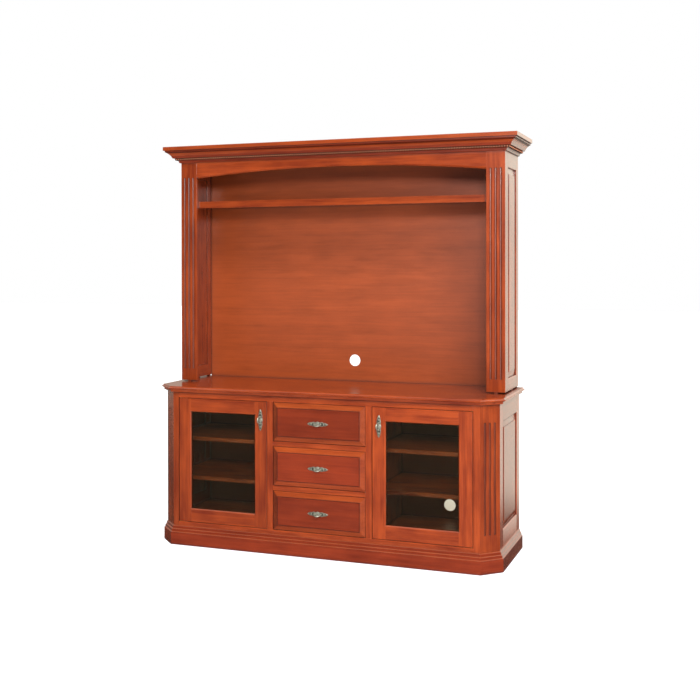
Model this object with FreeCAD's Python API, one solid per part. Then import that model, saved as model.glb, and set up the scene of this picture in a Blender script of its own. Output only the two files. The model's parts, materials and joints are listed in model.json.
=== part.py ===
"""Television armoire: a console with two glass doors and three drawers, and an open hutch on it.

Millimetres. X runs to the right, Y to the back and Z up. The pieces are made with y = 0 in the
front plane of the console's face frame, and are moved when they are saved, so that the origin
is on the floor under the middle of the whole piece.
"""
import FreeCAD, Part
import math
import os
from FreeCAD import Vector

# Console case
CASE_WIDTH = 1829.0
CASE_DEPTH = 566.0              # from the face frame's front to the sides' back edges
CASE_HEIGHT = 816.4             # from the floor to the underside of the top
CANT_LEG = 81.0                 # what each 45 degree corner takes from the front and from the side
BOARD = 19.0                    # solid boards of the case, the doors and the drawer fronts
BACK_THICKNESS = 6.0
BACK_SETBACK = 3.0              # the back panels lie this far inside the sides' back edges
CABLE_HOLE_RADIUS = 32.0
CABLE_HOLE_OFFSET = 269.5       # from a partition's outer face to the middle of the hole
CABLE_HOLE_RISE = 71.7          # from the deck to the middle of the hole

# Console top
TOP_THICKNESS = 28.9
TOP_OVERHANG = 29.7
TOP_NOSE_RADIUS = 9.0
TOP_NOSE_FLAT = 4.0
TOP_COVE_RADIUS = 10.0
TOP_STEP = 3.0

# Plinth: a flat board with two rounded steps above it
PLINTH_PROJECTION = 18.1
PLINTH_BOARD_HEIGHT = 71.0
PLINTH_HEIGHT = 101.4
PLINTH_ROUND = 5.0

# Face frame
OUTER_STILE = 32.5
MULLION = 32.9
DRAWER_OPENING_WIDTH = 505.2
TOP_RAIL = 32.1
BOTTOM_RAIL_TOP = 123.5         # height of the deck, which is flush with the bottom rail
DRAWER_RAIL = 24.8
DRAWER_COUNT = 3

# Flutes of the corner posts and the pilasters
FLUTE_WIDTH = 12.0
FLUTE_DEPTH = 5.0
FLUTE_COUNT = 3
POST_FLUTE_PITCH = 28.0
POST_FLUTE_RISE = 80.6          # from the plinth to the flutes
POST_FLUTE_DROP = 89.4          # from the console top's underside to the flutes
PILASTER_FLUTE_PITCH = 26.0
PILASTER_FLUTE_RISE = 64.7      # from the hutch's base to the flutes
PILASTER_FLUTE_DROP = 149.0     # from the hutch's top to the flutes

# Side frames and their raised panels
SIDE_STILE = 70.0
SIDE_TOP_RAIL = 96.0
SIDE_BOTTOM_RAIL = 190.0
HUTCH_SIDE_STILE = 54.0
HUTCH_SIDE_BOTTOM_RAIL = 63.0
HUTCH_SIDE_TOP_RAIL = 144.0
FRAME_CHAMFER = 3.0             # bevel along the inner front edge of every frame
PANEL_GROOVE = 8.0
PANEL_TONGUE = 6.0
PANEL_PLAY = 0.5                # room round the tongue in its groove
PANEL_SETBACK = 1.5             # the raised field lies this far behind the frame's face
PANEL_BEVEL = 32.0
PANEL_RISE = 7.0
PANEL_STEP = 2.0                # small step where the bevel meets the raised field

# Doors
DOOR_GAP = 2.5
DOOR_MEMBER = 70.0
DOOR_EDGE_ROUND = 3.0
DOOR_CHAMFER = 5.0
DOOR_LIP = 8.0                  # wood in front of the glass
GLASS_THICKNESS = 4.0
GLASS_REBATE = 9.0
GLASS_PLAY = 1.0

# Pin hinges let into the upper and lower edges of the doors
HINGE_PIN_RADIUS = 2.5
HINGE_RUNNING_CLEARANCE = 0.05
HINGE_PIN_INSET = 5.0           # from the door's edge and from its front to the pin
HINGE_PLATE_LENGTH = 45.0
HINGE_PLATE_WIDTH = 11.0
HINGE_PLATE_THICKNESS = 2.5
HINGE_EDGE_MARGIN = 3.5         # from the pin to the plate's end and to its front edge
HINGE_END_CLEARANCE = 0.4

# Door catches
CATCH_WIDTH = 34.0
CATCH_DEPTH = 30.0
CATCH_HEIGHT = 14.0
CATCH_CLEARANCE = 0.6
CATCH_DROP = 60.0               # from the top rail's lower edge to the catch

# Shelves behind the doors, on a cleat at each end
SHELF_THICKNESS = 20.0
SHELF_SHARES = (0.35, 0.67)     # heights of their tops, as shares of the opening's height
SHELF_PLAY = 1.0
CLEAT_WIDTH = 16.0
CLEAT_HEIGHT = 22.0
CLEAT_SETBACK = 12.0            # from the shelf's front edge to its cleats

# Drawers
DRAWER_GAP = 2.0
DRAWER_BEVEL = 25.0
DRAWER_RISE = 9.0
DRAWER_STEP = 2.0
BOX_BOARD = 12.0
BOX_DEPTH = 460.0
BOX_HEIGHT = 140.0
BOX_LIFT = 20.0                 # from the opening's lower edge to the box
BOX_BOTTOM_THICKNESS = 6.0
BOX_BOTTOM_LIFT = 10.0
BOX_GROOVE = 6.0
TAIL_COUNT = 4
TAIL_ROOT_SHARE = 0.45          # width of a tail at its root, as a share of the spacing
TAIL_ANGLE = 9.0

# Drawer slides
SLIDE_GAUGE = 1.5
SLIDE_SPACE = 12.8              # between the box's side and the partition
SLIDE_LENGTH = 450.0
SLIDE_HALF_HEIGHT = 20.0
SLIDE_CLEARANCE = 0.4

# Pulls: a leaf-shaped plate and a rigid bail
PULL_LENGTH = 111.0
PULL_WIDTH = 26.0
PULL_RIM = 2.0
PULL_DOME = 2.0
BAIL_HALF_SPAN = 17.0
BAIL_LEG = 13.0                 # straight part on each side of the bend
BAIL_THICKNESS = 6.0
BAIL_DROOP_ANGLE = 23.0
BAIL_COLLAR_SIZE = 10.0
BAIL_COLLAR_HEIGHT = 5.0
DOOR_PULL_DROP = 98.0           # from the top rail's lower edge to the middle of the pull

# Hutch
HUTCH_INSET = 4.9               # from the case's side to the hutch's side
HUTCH_DEPTH = 333.3
HUTCH_HEIGHT = 1272.7           # from its base to the top of its top board
HUTCH_FOOT_HEIGHT = 7.0
HUTCH_FOOT_SIZE = 17.0
PILASTER_WIDTH = 95.5
ARCHED_RAIL_ENDS = 153.0        # height of the arched rail at the pilasters
ARCHED_RAIL_MIDDLE = 112.0      # and at the middle
ARCH_CHAMFER = 9.0
HUTCH_SHELF_DROP = 281.7        # from the hutch's top to the top of the shelf
HUTCH_SHELF_THICKNESS = 19.0
HUTCH_NOSING_HEIGHT = 36.0
HUTCH_CABLE_HOLE_RISE = 115.0   # from the console top to the middle of the hole

# Crown moulding
CROWN_HEIGHT = 85.3
CROWN_RISE = 19.9               # above the hutch's top board
CROWN_PROJECTION = 75.0
CROWN_FILLET = 20.0             # height of the flat band at the top
CROWN_LIP = 8.0                 # the band stands this far out of the cove
CROWN_BAND = 10.0               # projection of the small band at the foot
CROWN_BAND_HEIGHT = 8.0
CROWN_BEAD_SEAT = 20.0          # projection of the face behind the bead strip
CROWN_SEAT_RISE = 6.0
CROWN_COVE_FOOT = 36.0          # projection where the cove begins
BEAD_RADIUS = 5.5

# Worked out from the sizes above
PULL_PLATE = PULL_RIM + PULL_DOME
BAIL_REACH = BAIL_LEG + BAIL_HALF_SPAN + BAIL_THICKNESS / 2
BAIL_DROOP = math.radians(BAIL_DROOP_ANGLE)
PULL_REACH = (PULL_PLATE + BAIL_REACH * math.cos(BAIL_DROOP)
              + BAIL_THICKNESS / 2 * math.sin(BAIL_DROOP))
FRONT = (max(PULL_REACH, TOP_OVERHANG) - CASE_DEPTH) / 2
CASE_SIDE = CASE_WIDTH / 2
CANT_FRONT = CASE_SIDE - CANT_LEG
TOP_Z = CASE_HEIGHT + TOP_THICKNESS
OPENING_TOP = CASE_HEIGHT - TOP_RAIL
PANEL_BACK = CASE_DEPTH - BACK_SETBACK
INSIDE_BACK = PANEL_BACK - BACK_THICKNESS
DRAWER_SIDE = DRAWER_OPENING_WIDTH / 2
DOOR_INNER = DRAWER_SIDE + MULLION
DOOR_OUTER = CANT_FRONT - OUTER_STILE
PARTITION_OUTER = DRAWER_SIDE + BOARD
CASE_INSIDE = CASE_SIDE - BOARD
DRAWER_OPENING_HEIGHT = ((OPENING_TOP - BOTTOM_RAIL_TOP - (DRAWER_COUNT - 1) * DRAWER_RAIL)
                         / DRAWER_COUNT)
DRAWER_PITCH = DRAWER_OPENING_HEIGHT + DRAWER_RAIL
SHELF_TOPS = [BOTTOM_RAIL_TOP + share * (OPENING_TOP - BOTTOM_RAIL_TOP) for share in SHELF_SHARES]
HUTCH_SIDE = CASE_SIDE - HUTCH_INSET
HUTCH_INSIDE = HUTCH_SIDE - BOARD
HUTCH_FRONT = CASE_DEPTH - HUTCH_DEPTH
HUTCH_BASE = TOP_Z + HUTCH_FOOT_HEIGHT
HUTCH_TOP_Z = HUTCH_BASE + HUTCH_HEIGHT
HUTCH_SHELF_TOP_Z = HUTCH_TOP_Z - HUTCH_SHELF_DROP
CROWN_TOP_Z = HUTCH_TOP_Z + CROWN_RISE
CROWN_FOOT_Z = CROWN_TOP_Z - CROWN_HEIGHT
PILASTER_INNER = HUTCH_SIDE - PILASTER_WIDTH
BEHIND_PILASTER = HUTCH_FRONT + BOARD
QUARTER_BULGE = (math.sqrt(2) - 1) / 2      # height over chord of a quarter circle
HANDS = ("left", "right")


def box(x0, x1, y0, y1, z0, z1):
    """Upright block between two opposite corners, given in any order."""
    low = Vector(min(x0, x1), min(y0, y1), min(z0, z1))
    return Part.makeBox(abs(x1 - x0), abs(y1 - y0), abs(z1 - z0), low)


def prism(plan, z0, z1):
    """Upright solid on a closed plan outline of Vectors."""
    corners = [Vector(point.x, point.y, z0) for point in plan]
    face = Part.Face(Part.makePolygon(corners + corners[:1]))
    return face.extrude(Vector(0, 0, z1 - z0))


def mirrored(shape):
    """The left-hand twin of a right-hand piece."""
    return shape.mirror(Vector(0, 0, 0), Vector(1, 0, 0))


def both(shape):
    """A right-hand piece and its left-hand twin."""
    return [mirrored(shape), shape]


def save(node, *pieces):
    """Write one node, moved into the frame of the whole armoire."""
    shape = pieces[0].copy() if len(pieces) == 1 else Part.makeCompound(list(pieces))
    shape.translate(Vector(0, FRONT, 0))
    shape.exportStep(f"parts/{node}.step")


def curve(start, end, bulge):
    """Step of a profile: an arc to the end, bulging to the left of the way there."""
    middle = ((start[0] + end[0]) / 2 - (end[1] - start[1]) * bulge,
              (start[1] + end[1]) / 2 + (end[0] - start[0]) * bulge)
    return middle, end


def profile_face(steps, place):
    """Face of a closed profile. Each step is a point, or an arc as (middle, end)."""
    here = place(*steps[0])
    edges = []
    for step in steps[1:] + steps[:1]:
        if isinstance(step[0], tuple):
            end = place(*step[1])
            edges.append(Part.Arc(here, place(*step[0]), end).toShape())
        else:
            end = place(*step)
            edges.append(Part.LineSegment(here, end).toShape())
        here = end
    return Part.Face(Part.Wire(edges))


def outward(a, b):
    """Unit normal, in plan, of a wall that runs from a to b with the case on its left."""
    return Vector(b.y - a.y, a.x - b.x, 0).normalize()


def mitre_lines(path):
    """The way in which an offset line leaves each corner of a plan path."""
    normals = [outward(a, b) for a, b in zip(path, path[1:])]
    pairs = zip(normals[:1] + normals, normals + normals[-1:])
    return [(before + after) * (1 / (1 + before.dot(after))) for before, after in pairs]


def moulding(steps, path):
    """Lengths of one profile laid round a plan path, mitred where they meet."""
    ends = [step[1] if isinstance(step[0], tuple) else step for step in steps]
    far = 2 * max(q for q, _ in ends)
    low, high = min(z for _, z in ends), max(z for _, z in ends)
    lines = mitre_lines(path)
    lengths = []
    for a, b, line_a, line_b in zip(path, path[1:], lines, lines[1:]):
        out, along = outward(a, b), (b - a).normalize()
        start = a - along * far

        def place(q, z):
            return start + out * q + Vector(0, 0, z)

        bar = profile_face(steps, place).extrude(along * ((b - a).Length + 2 * far))
        mitres = prism([a, a + line_a * far, b + line_b * far, b], low - far, high + far)
        lengths.append(bar.common(mitres).Solids[0])
    return lengths


def raised_panel(width, height, thickness, rim, rise, bevel, step):
    """Panel centred on the origin with its raised field in the plane y = 0.

    The rim is flat, the bevel climbs from it, and a small step leads up to the field.
    """
    def rectangle(inset, y):
        x, z = width / 2 - inset, height / 2 - inset
        corners = [Vector(-x, y, -z), Vector(x, y, -z), Vector(x, y, z), Vector(-x, y, z)]
        return Part.makePolygon(corners + corners[:1])

    plate = box(-width / 2, width / 2, rise, thickness, -height / 2, height / 2)
    slope = Part.makeLoft([rectangle(rim, rise), rectangle(rim + bevel, step)], True, True)
    field = rectangle(rim + bevel, 0)
    field = Part.Face(field).extrude(Vector(0, rise, 0))
    return plate.fuse([slope, field]).removeSplitter()


def frame(width, height, stile, top, bottom, chamfer, pocket, edge_round=0):
    """Two stiles and two rails round an opening, with the front in the plane y = 0.

    The lower left corner is at the origin. The pocket is (front, back, depth): a groove or a
    rebate that holds what fills the frame.
    """
    blank = box(0, width, 0, BOARD, 0, height)
    if edge_round:
        arrises = [edge for edge in blank.Edges
                   if all(abs(vertex.Y) < 1e-6 for vertex in edge.Vertexes)
                   and abs(edge.Vertexes[0].X - edge.Vertexes[1].X) < 1e-6]
        blank = blank.makeFillet(edge_round, arrises)
    pocket_front, pocket_back, depth = pocket
    hole = box(stile, width - stile, 0, BOARD, bottom, height - top)
    groove = box(stile - depth, width - stile + depth, pocket_front, pocket_back,
                 bottom - depth, height - top + depth)

    def rim(grow, y):
        corners = [Vector(stile - grow, y, bottom - grow),
                   Vector(width - stile + grow, y, bottom - grow),
                   Vector(width - stile + grow, y, height - top + grow),
                   Vector(stile - grow, y, height - top + grow)]
        return Part.makePolygon(corners + corners[:1])

    bevel = Part.makeLoft([rim(chamfer, 0), rim(0, chamfer)], True, True)
    ring = blank.cut([hole, groove, bevel])
    cuts = [box(0, stile, 0, BOARD, 0, height),
            box(width - stile, width, 0, BOARD, 0, height),
            box(stile, width - stile, 0, BOARD, 0, bottom),
            box(stile, width - stile, 0, BOARD, height - top, height)]
    return [ring.common(cut).Solids[0] for cut in cuts]


def turned_side(shapes, front, side, base):
    """Stand pieces made in the front plane on the right-hand side of the case."""
    for shape in shapes:
        shape.rotate(Vector(0, 0, 0), Vector(0, 0, 1), 90)
        shape.translate(Vector(side, front, base))
    return shapes


def side_wall(side, front, base, top_z, stile, top, bottom):
    """Framed side of the console or the hutch: its frame and its raised panel, right-hand."""
    width, height = CASE_DEPTH - front, top_z - base
    tongue_front = PANEL_SETBACK + PANEL_RISE
    groove = (tongue_front, tongue_front + PANEL_TONGUE + PANEL_PLAY, PANEL_GROOVE)
    members = frame(width, height, stile, top, bottom, FRAME_CHAMFER, groove)
    reach = 2 * (PANEL_GROOVE - PANEL_PLAY)
    panel = raised_panel(width - 2 * stile + reach, height - top - bottom + reach,
                         PANEL_RISE + PANEL_TONGUE, PANEL_GROOVE, PANEL_RISE, PANEL_BEVEL,
                         PANEL_STEP)
    panel.translate(Vector(width / 2, PANEL_SETBACK, (bottom + height - top) / 2))
    turned_side(members + [panel], front, side, base)
    return members, panel


def flute_cutters(low, high, pitch):
    """Cutters side by side, centred on x = 0, for a face in the plane y = 0.

    A flute is an arc in section, and its outline on the face has round ends.
    """
    half = FLUTE_WIDTH / 2
    radius = (half ** 2 + FLUTE_DEPTH ** 2) / (2 * FLUTE_DEPTH)
    outline = [(-half, (low + high) / 2), (-half, high - half), ((0, high), (half, high - half)),
               (half, low + half), ((0, low), (-half, low + half))]
    cutters = []
    for number in range(FLUTE_COUNT):
        x = (number - (FLUTE_COUNT - 1) / 2) * pitch
        bar = Part.makeCylinder(radius, high - low, Vector(x, FLUTE_DEPTH - radius, low))

        def place(across, z):
            return Vector(x + across, -FLUTE_DEPTH, z)

        stopped = profile_face(outline, place).extrude(Vector(0, 3 * FLUTE_DEPTH, 0))
        cutters.append(bar.common(stopped))
    return cutters


def case_path():
    """Plan of the console's walls from the left back corner round the front."""
    right = [Vector(CANT_FRONT, 0, 0), Vector(CASE_SIDE, CANT_LEG, 0),
             Vector(CASE_SIDE, CASE_DEPTH, 0)]
    left = [Vector(-point.x, point.y, 0) for point in reversed(right)]
    return left + right


def plinth():
    """Five mitred boards with a stepped and rounded cap, and a plain rail at the back."""
    rise = (PLINTH_HEIGHT - PLINTH_BOARD_HEIGHT) / 2
    step = (PLINTH_PROJECTION - PLINTH_ROUND) / 2
    outer, middle, inner = PLINTH_PROJECTION, PLINTH_PROJECTION - step, PLINTH_ROUND
    first, second = PLINTH_BOARD_HEIGHT, PLINTH_BOARD_HEIGHT + rise
    steps = [(0, 0), (outer, 0)]
    for q, z in ((outer, first), (middle, second), (inner, PLINTH_HEIGHT)):
        steps.append((q, z - PLINTH_ROUND))
        steps.append(curve((q, z - PLINTH_ROUND), (q - PLINTH_ROUND, z), QUARTER_BULGE))
    side_left, cant_left, front, cant_right, side_right = moulding(steps, case_path())
    save("plinth_front", front)
    save("plinth_returns", side_left, cant_left, cant_right, side_right)
    save("plinth_rear_rail", box(-CASE_INSIDE, CASE_INSIDE, INSIDE_BACK - BOARD, INSIDE_BACK,
                                 0, BOTTOM_RAIL_TOP - BOARD))


def console_top():
    """One board with a rounded nose and a cove under it, flush with the case at the back."""
    nose_low = TOP_Z - TOP_NOSE_RADIUS - TOP_NOSE_FLAT
    cove_out = TOP_OVERHANG - TOP_STEP
    steps = [(0, CASE_HEIGHT), (cove_out - TOP_COVE_RADIUS, CASE_HEIGHT),
             (cove_out - TOP_COVE_RADIUS, nose_low - TOP_COVE_RADIUS),
             curve((cove_out - TOP_COVE_RADIUS, nose_low - TOP_COVE_RADIUS),
                   (cove_out, nose_low), QUARTER_BULGE),
             (TOP_OVERHANG, nose_low), (TOP_OVERHANG, TOP_Z - TOP_NOSE_RADIUS),
             curve((TOP_OVERHANG, TOP_Z - TOP_NOSE_RADIUS),
                   (TOP_OVERHANG - TOP_NOSE_RADIUS, TOP_Z), QUARTER_BULGE),
             (0, TOP_Z)]
    board = prism(case_path(), CASE_HEIGHT, TOP_Z)
    save("console_top", board.fuse(moulding(steps, case_path())).removeSplitter())


def face_frame():
    """Stiles, mullions and rails in the front plane, with the lower hinge plates let in."""
    save("face_stiles", *both(box(DOOR_OUTER, CANT_FRONT, 0, BOARD, 0, CASE_HEIGHT)))
    save("face_mullions", *both(box(DRAWER_SIDE, DOOR_INNER, 0, BOARD,
                                    BOTTOM_RAIL_TOP, OPENING_TOP)))
    plates = fixed_hinge_plates()
    upper = box(-DOOR_OUTER, DOOR_OUTER, 0, BOARD, OPENING_TOP, CASE_HEIGHT)
    lower = box(-DOOR_OUTER, DOOR_OUTER, 0, BOARD, 0, BOTTOM_RAIL_TOP)
    save("face_top_rail", upper.cut(plates))
    save("face_bottom_rail", lower.cut(plates))
    save("hinge_plates_fixed", *plates)
    rails = []
    for number in range(1, DRAWER_COUNT):
        top = BOTTOM_RAIL_TOP + number * DRAWER_PITCH
        rails.append(box(-DRAWER_SIDE, DRAWER_SIDE, 0, BOARD, top - DRAWER_RAIL, top))
    save("drawer_rails", *rails)


def corner_posts():
    """Canted corner boards with three flutes each."""
    plan = [Vector(CANT_FRONT, 0, 0), Vector(CASE_SIDE, CANT_LEG, 0),
            Vector(CASE_INSIDE, CANT_LEG, 0), Vector(CANT_FRONT, BOARD, 0)]
    post = prism(plan, 0, CASE_HEIGHT)
    middle = Vector(CANT_FRONT + CANT_LEG / 2, CANT_LEG / 2, 0)
    cutters = flute_cutters(PLINTH_HEIGHT + POST_FLUTE_RISE, CASE_HEIGHT - POST_FLUTE_DROP,
                            POST_FLUTE_PITCH)
    for cutter in cutters:
        cutter.rotate(Vector(0, 0, 0), Vector(0, 0, 1), 45)
        cutter.translate(middle)
    post = post.cut(cutters)
    for name, shape in zip(HANDS, both(post)):
        save(f"fluted_post_{name}", shape)


def console_carcase():
    """Sides, deck, partitions, back, shelves and their cleats."""
    members, panel = side_wall(CASE_SIDE, CANT_LEG, 0, CASE_HEIGHT, SIDE_STILE,
                               SIDE_TOP_RAIL, SIDE_BOTTOM_RAIL)
    partition = box(DRAWER_SIDE, PARTITION_OUTER, BOARD, INSIDE_BACK, BOTTOM_RAIL_TOP,
                    CASE_HEIGHT)
    shelves, cleats = [], []
    shelf_back = INSIDE_BACK - SHELF_PLAY
    for top in SHELF_TOPS:
        under = top - SHELF_THICKNESS
        shelves.append(box(PARTITION_OUTER + SHELF_PLAY, CASE_INSIDE - SHELF_PLAY,
                           CANT_LEG, shelf_back, under, top))
        for wall, inward in ((PARTITION_OUTER, 1), (CASE_INSIDE, -1)):
            cleats.append(box(wall, wall + inward * CLEAT_WIDTH, CANT_LEG + CLEAT_SETBACK,
                              shelf_back, under - CLEAT_HEIGHT, under))
    save("shelf_cleats", *[cleat for right in cleats for cleat in both(right)])
    for number, name in enumerate(HANDS):
        save(f"console_side_frame_{name}", *[both(member)[number] for member in members])
        save(f"partition_{name}", both(partition)[number])
        save(f"shelves_{name}", *[both(shelf)[number] for shelf in shelves])
    save("console_side_panels", *both(panel))

    front = [Vector(CANT_FRONT, BOARD, 0), Vector(CASE_INSIDE, CANT_LEG, 0),
             Vector(CASE_INSIDE, INSIDE_BACK, 0)]
    plan = front + [Vector(-point.x, point.y, 0) for point in reversed(front)]
    save("console_deck", prism(plan, BOTTOM_RAIL_TOP - BOARD, BOTTOM_RAIL_TOP))
    hole = Part.makeCylinder(CABLE_HOLE_RADIUS, BACK_THICKNESS,
                             Vector(PARTITION_OUTER + CABLE_HOLE_OFFSET, INSIDE_BACK,
                                    BOTTOM_RAIL_TOP + CABLE_HOLE_RISE),
                             Vector(0, 1, 0))
    back = box(-CASE_INSIDE, CASE_INSIDE, INSIDE_BACK, PANEL_BACK, 0, CASE_HEIGHT)
    save("console_back", back.cut(both(hole)))
    catch = box(PARTITION_OUTER, PARTITION_OUTER + CATCH_WIDTH, BOARD + CATCH_CLEARANCE,
                BOARD + CATCH_CLEARANCE + CATCH_DEPTH, OPENING_TOP - CATCH_DROP - CATCH_HEIGHT,
                OPENING_TOP - CATCH_DROP)
    save("door_catches", *both(catch))


def hinge_pin_place():
    """Plan position of the right-hand door's pins."""
    return DOOR_OUTER - DOOR_GAP - HINGE_PIN_INSET, HINGE_PIN_INSET


def hinge_plate(z0, z1):
    """Blank of one hinge plate of the right-hand door."""
    x, y = hinge_pin_place()
    return box(x + HINGE_EDGE_MARGIN - HINGE_PLATE_LENGTH, x + HINGE_EDGE_MARGIN,
               y - HINGE_EDGE_MARGIN, y - HINGE_EDGE_MARGIN + HINGE_PLATE_WIDTH, z0, z1)


def fixed_hinge_plates():
    """Plates in the rails above and below the doors, each with its pin."""
    x, y = hinge_pin_place()
    plates = []
    for edge, way in ((OPENING_TOP, 1), (BOTTOM_RAIL_TOP, -1)):
        plate = hinge_plate(edge, edge + way * HINGE_PLATE_THICKNESS)
        length = 2 * HINGE_PLATE_THICKNESS + DOOR_GAP - HINGE_END_CLEARANCE
        pin = Part.makeCylinder(HINGE_PIN_RADIUS, length,
                                Vector(x, y, edge + way * HINGE_PLATE_THICKNESS),
                                Vector(0, 0, -way))
        plates.append(plate.fuse(pin).removeSplitter())
    return [shape for plate in plates for shape in both(plate)]


def bail():
    """Square bar of the pull: two legs from the plane y = 0 and a half circle between them."""
    half = BAIL_THICKNESS / 2
    outer, inner = BAIL_HALF_SPAN + half, BAIL_HALF_SPAN - half
    centre, up = Vector(0, -BAIL_LEG, -half), Vector(0, 0, 1)
    ring = Part.makeCylinder(outer, BAIL_THICKNESS, centre, up).cut(
        Part.makeCylinder(inner, BAIL_THICKNESS, centre, up))
    bend = ring.common(box(-outer, outer, -BAIL_LEG - outer, -BAIL_LEG, -half, half))
    leg = box(inner, outer, -BAIL_LEG, PULL_PLATE, -half, half)
    return bend.fuse(both(leg)).removeSplitter()


def pull():
    """Leaf-shaped domed plate on the plane y = 0 with a rigid bail that droops a little."""
    long, wide = PULL_LENGTH / 2, PULL_WIDTH / 2
    tips = Vector(-long, 0, 0), Vector(long, 0, 0)
    leaf = Part.Wire([Part.Arc(tips[0], Vector(0, 0, wide), tips[1]).toShape(),
                      Part.Arc(tips[1], Vector(0, 0, -wide), tips[0]).toShape()])
    dome_radius = (wide ** 2 + PULL_DOME ** 2) / (2 * PULL_DOME)
    dome = Part.makeCylinder(dome_radius, PULL_LENGTH,
                             Vector(-long, dome_radius - PULL_PLATE, 0), Vector(1, 0, 0))
    plate = Part.Face(leaf).extrude(Vector(0, -PULL_PLATE, 0)).common(dome)
    bar = bail()
    bar.rotate(Vector(0, 0, 0), Vector(1, 0, 0), BAIL_DROOP_ANGLE)
    bar.translate(Vector(0, -PULL_PLATE, 0))
    half = BAIL_COLLAR_SIZE / 2
    collar = box(BAIL_HALF_SPAN - half, BAIL_HALF_SPAN + half,
                 -PULL_RIM - BAIL_COLLAR_HEIGHT, 0, -half, half)
    behind = box(-PULL_LENGTH, PULL_LENGTH, 0, PULL_LENGTH, -PULL_LENGTH, PULL_LENGTH)
    return plate.fuse([bar] + both(collar)).cut(behind).removeSplitter()


def door():
    """Right-hand door: frame, glass, stops, hinge plates and pull."""
    low, high = BOTTOM_RAIL_TOP + DOOR_GAP, OPENING_TOP - DOOR_GAP
    left, right = DOOR_INNER + DOOR_GAP, DOOR_OUTER - DOOR_GAP
    width, height = right - left, high - low
    corner = Vector(left, 0, low)
    members = frame(width, height, DOOR_MEMBER, DOOR_MEMBER, DOOR_MEMBER, DOOR_CHAMFER,
                    (DOOR_LIP, BOARD, GLASS_REBATE), DOOR_EDGE_ROUND)
    inner = DOOR_MEMBER - GLASS_REBATE
    pane = box(inner + GLASS_PLAY, width - inner - GLASS_PLAY, DOOR_LIP,
               DOOR_LIP + GLASS_THICKNESS, inner + GLASS_PLAY, height - inner - GLASS_PLAY)
    stop_front = DOOR_LIP + GLASS_THICKNESS
    stops = [box(inner, DOOR_MEMBER, stop_front, BOARD, inner, height - inner),
             box(width - DOOR_MEMBER, width - inner, stop_front, BOARD, inner, height - inner),
             box(DOOR_MEMBER, width - DOOR_MEMBER, stop_front, BOARD, inner, DOOR_MEMBER),
             box(DOOR_MEMBER, width - DOOR_MEMBER, stop_front, BOARD,
                 height - DOOR_MEMBER, height - inner)]
    for shape in members + [pane] + stops:
        shape.translate(corner)
    x, y = hinge_pin_place()
    plates = []
    for edge, way in ((high, -1), (low, 1)):
        blank = hinge_plate(edge, edge + way * HINGE_PLATE_THICKNESS)
        members = [member.cut(blank).Solids[0] for member in members]
        hole = Part.makeCylinder(HINGE_PIN_RADIUS + HINGE_RUNNING_CLEARANCE,
                                 HINGE_PLATE_THICKNESS, Vector(x, y, edge), Vector(0, 0, way))
        plates.append(blank.cut(hole))
    return members, pane, stops, plates


def doors():
    """Both doors. Their pulls are the same casting, so both bails droop to the left."""
    members, pane, stops, plates = door()
    handle = pull()
    handle.rotate(Vector(0, 0, 0), Vector(0, 1, 0), 90)
    pull_x = DOOR_INNER + DOOR_GAP + DOOR_MEMBER / 2
    for number, name in enumerate(HANDS):
        save(f"door_{name}_frame", *[both(member)[number] for member in members])
        save(f"door_{name}_glass", both(pane)[number])
        save(f"door_{name}_glass_stops", *[both(stop)[number] for stop in stops])
        save(f"door_{name}_hinge_plates", *[both(plate)[number] for plate in plates])
        placed = handle.copy()
        placed.translate(Vector((-pull_x, pull_x)[number], 0, OPENING_TOP - DOOR_PULL_DROP))
        save(f"door_{name}_pull", placed)


def dovetails(y_root, y_end, z0):
    """Tails of one right-hand side board at one end, standing from its root to its end."""
    side = DRAWER_SIDE - SLIDE_SPACE
    spacing = BOX_HEIGHT / TAIL_COUNT
    half_root = spacing * TAIL_ROOT_SHARE / 2
    half_end = half_root + abs(y_end - y_root) * math.tan(math.radians(TAIL_ANGLE))
    tails = []
    for number in range(TAIL_COUNT):
        z = z0 + (number + 0.5) * spacing
        corners = [Vector(side, y_root, z - half_root), Vector(side, y_end, z - half_end),
                   Vector(side, y_end, z + half_end), Vector(side, y_root, z + half_root)]
        face = Part.Face(Part.makePolygon(corners + corners[:1]))
        tails.append(face.extrude(Vector(-BOX_BOARD, 0, 0)))
    return tails


def drawer_box(z0):
    """Four dovetailed boards and a bottom held in their grooves."""
    side = DRAWER_SIDE - SLIDE_SPACE
    front, back = BOARD, BOARD + BOX_DEPTH
    inner_front, inner_back = front + BOX_BOARD, back - BOX_BOARD
    top = z0 + BOX_HEIGHT
    reach = BOX_BOARD - BOX_GROOVE
    bottom = box(reach - side, side - reach, front + reach, back - reach,
                 z0 + BOX_BOTTOM_LIFT, z0 + BOX_BOTTOM_LIFT + BOX_BOTTOM_THICKNESS)
    tails = {front: dovetails(inner_front, front, z0), back: dovetails(inner_back, back, z0)}
    core = box(side - BOX_BOARD, side, inner_front, inner_back, z0, top)
    board = core.fuse(tails[front] + tails[back]).removeSplitter().cut(bottom)
    boards = both(board)
    for outer, inner in ((front, inner_front), (back, inner_back)):
        pockets = [shape for tail in tails[outer] for shape in both(tail)]
        boards.append(box(-side, side, outer, inner, z0, top).cut(pockets).cut(bottom))
    return boards + [bottom]


def channel(web, lip, half_height, z):
    """Right-hand slide member: a web at one x and two flanges that reach to another."""
    way = math.copysign(SLIDE_GAUGE, lip - web)
    y0, y1 = BOARD + SLIDE_GAUGE, BOARD + SLIDE_GAUGE + SLIDE_LENGTH
    flanges = [box(web, lip, y0, y1, z + half_height - SLIDE_GAUGE, z + half_height),
               box(web, lip, y0, y1, z - half_height, z - half_height + SLIDE_GAUGE)]
    return box(web, web + way, y0, y1, z - half_height, z + half_height).fuse(
        flanges).removeSplitter()


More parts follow.
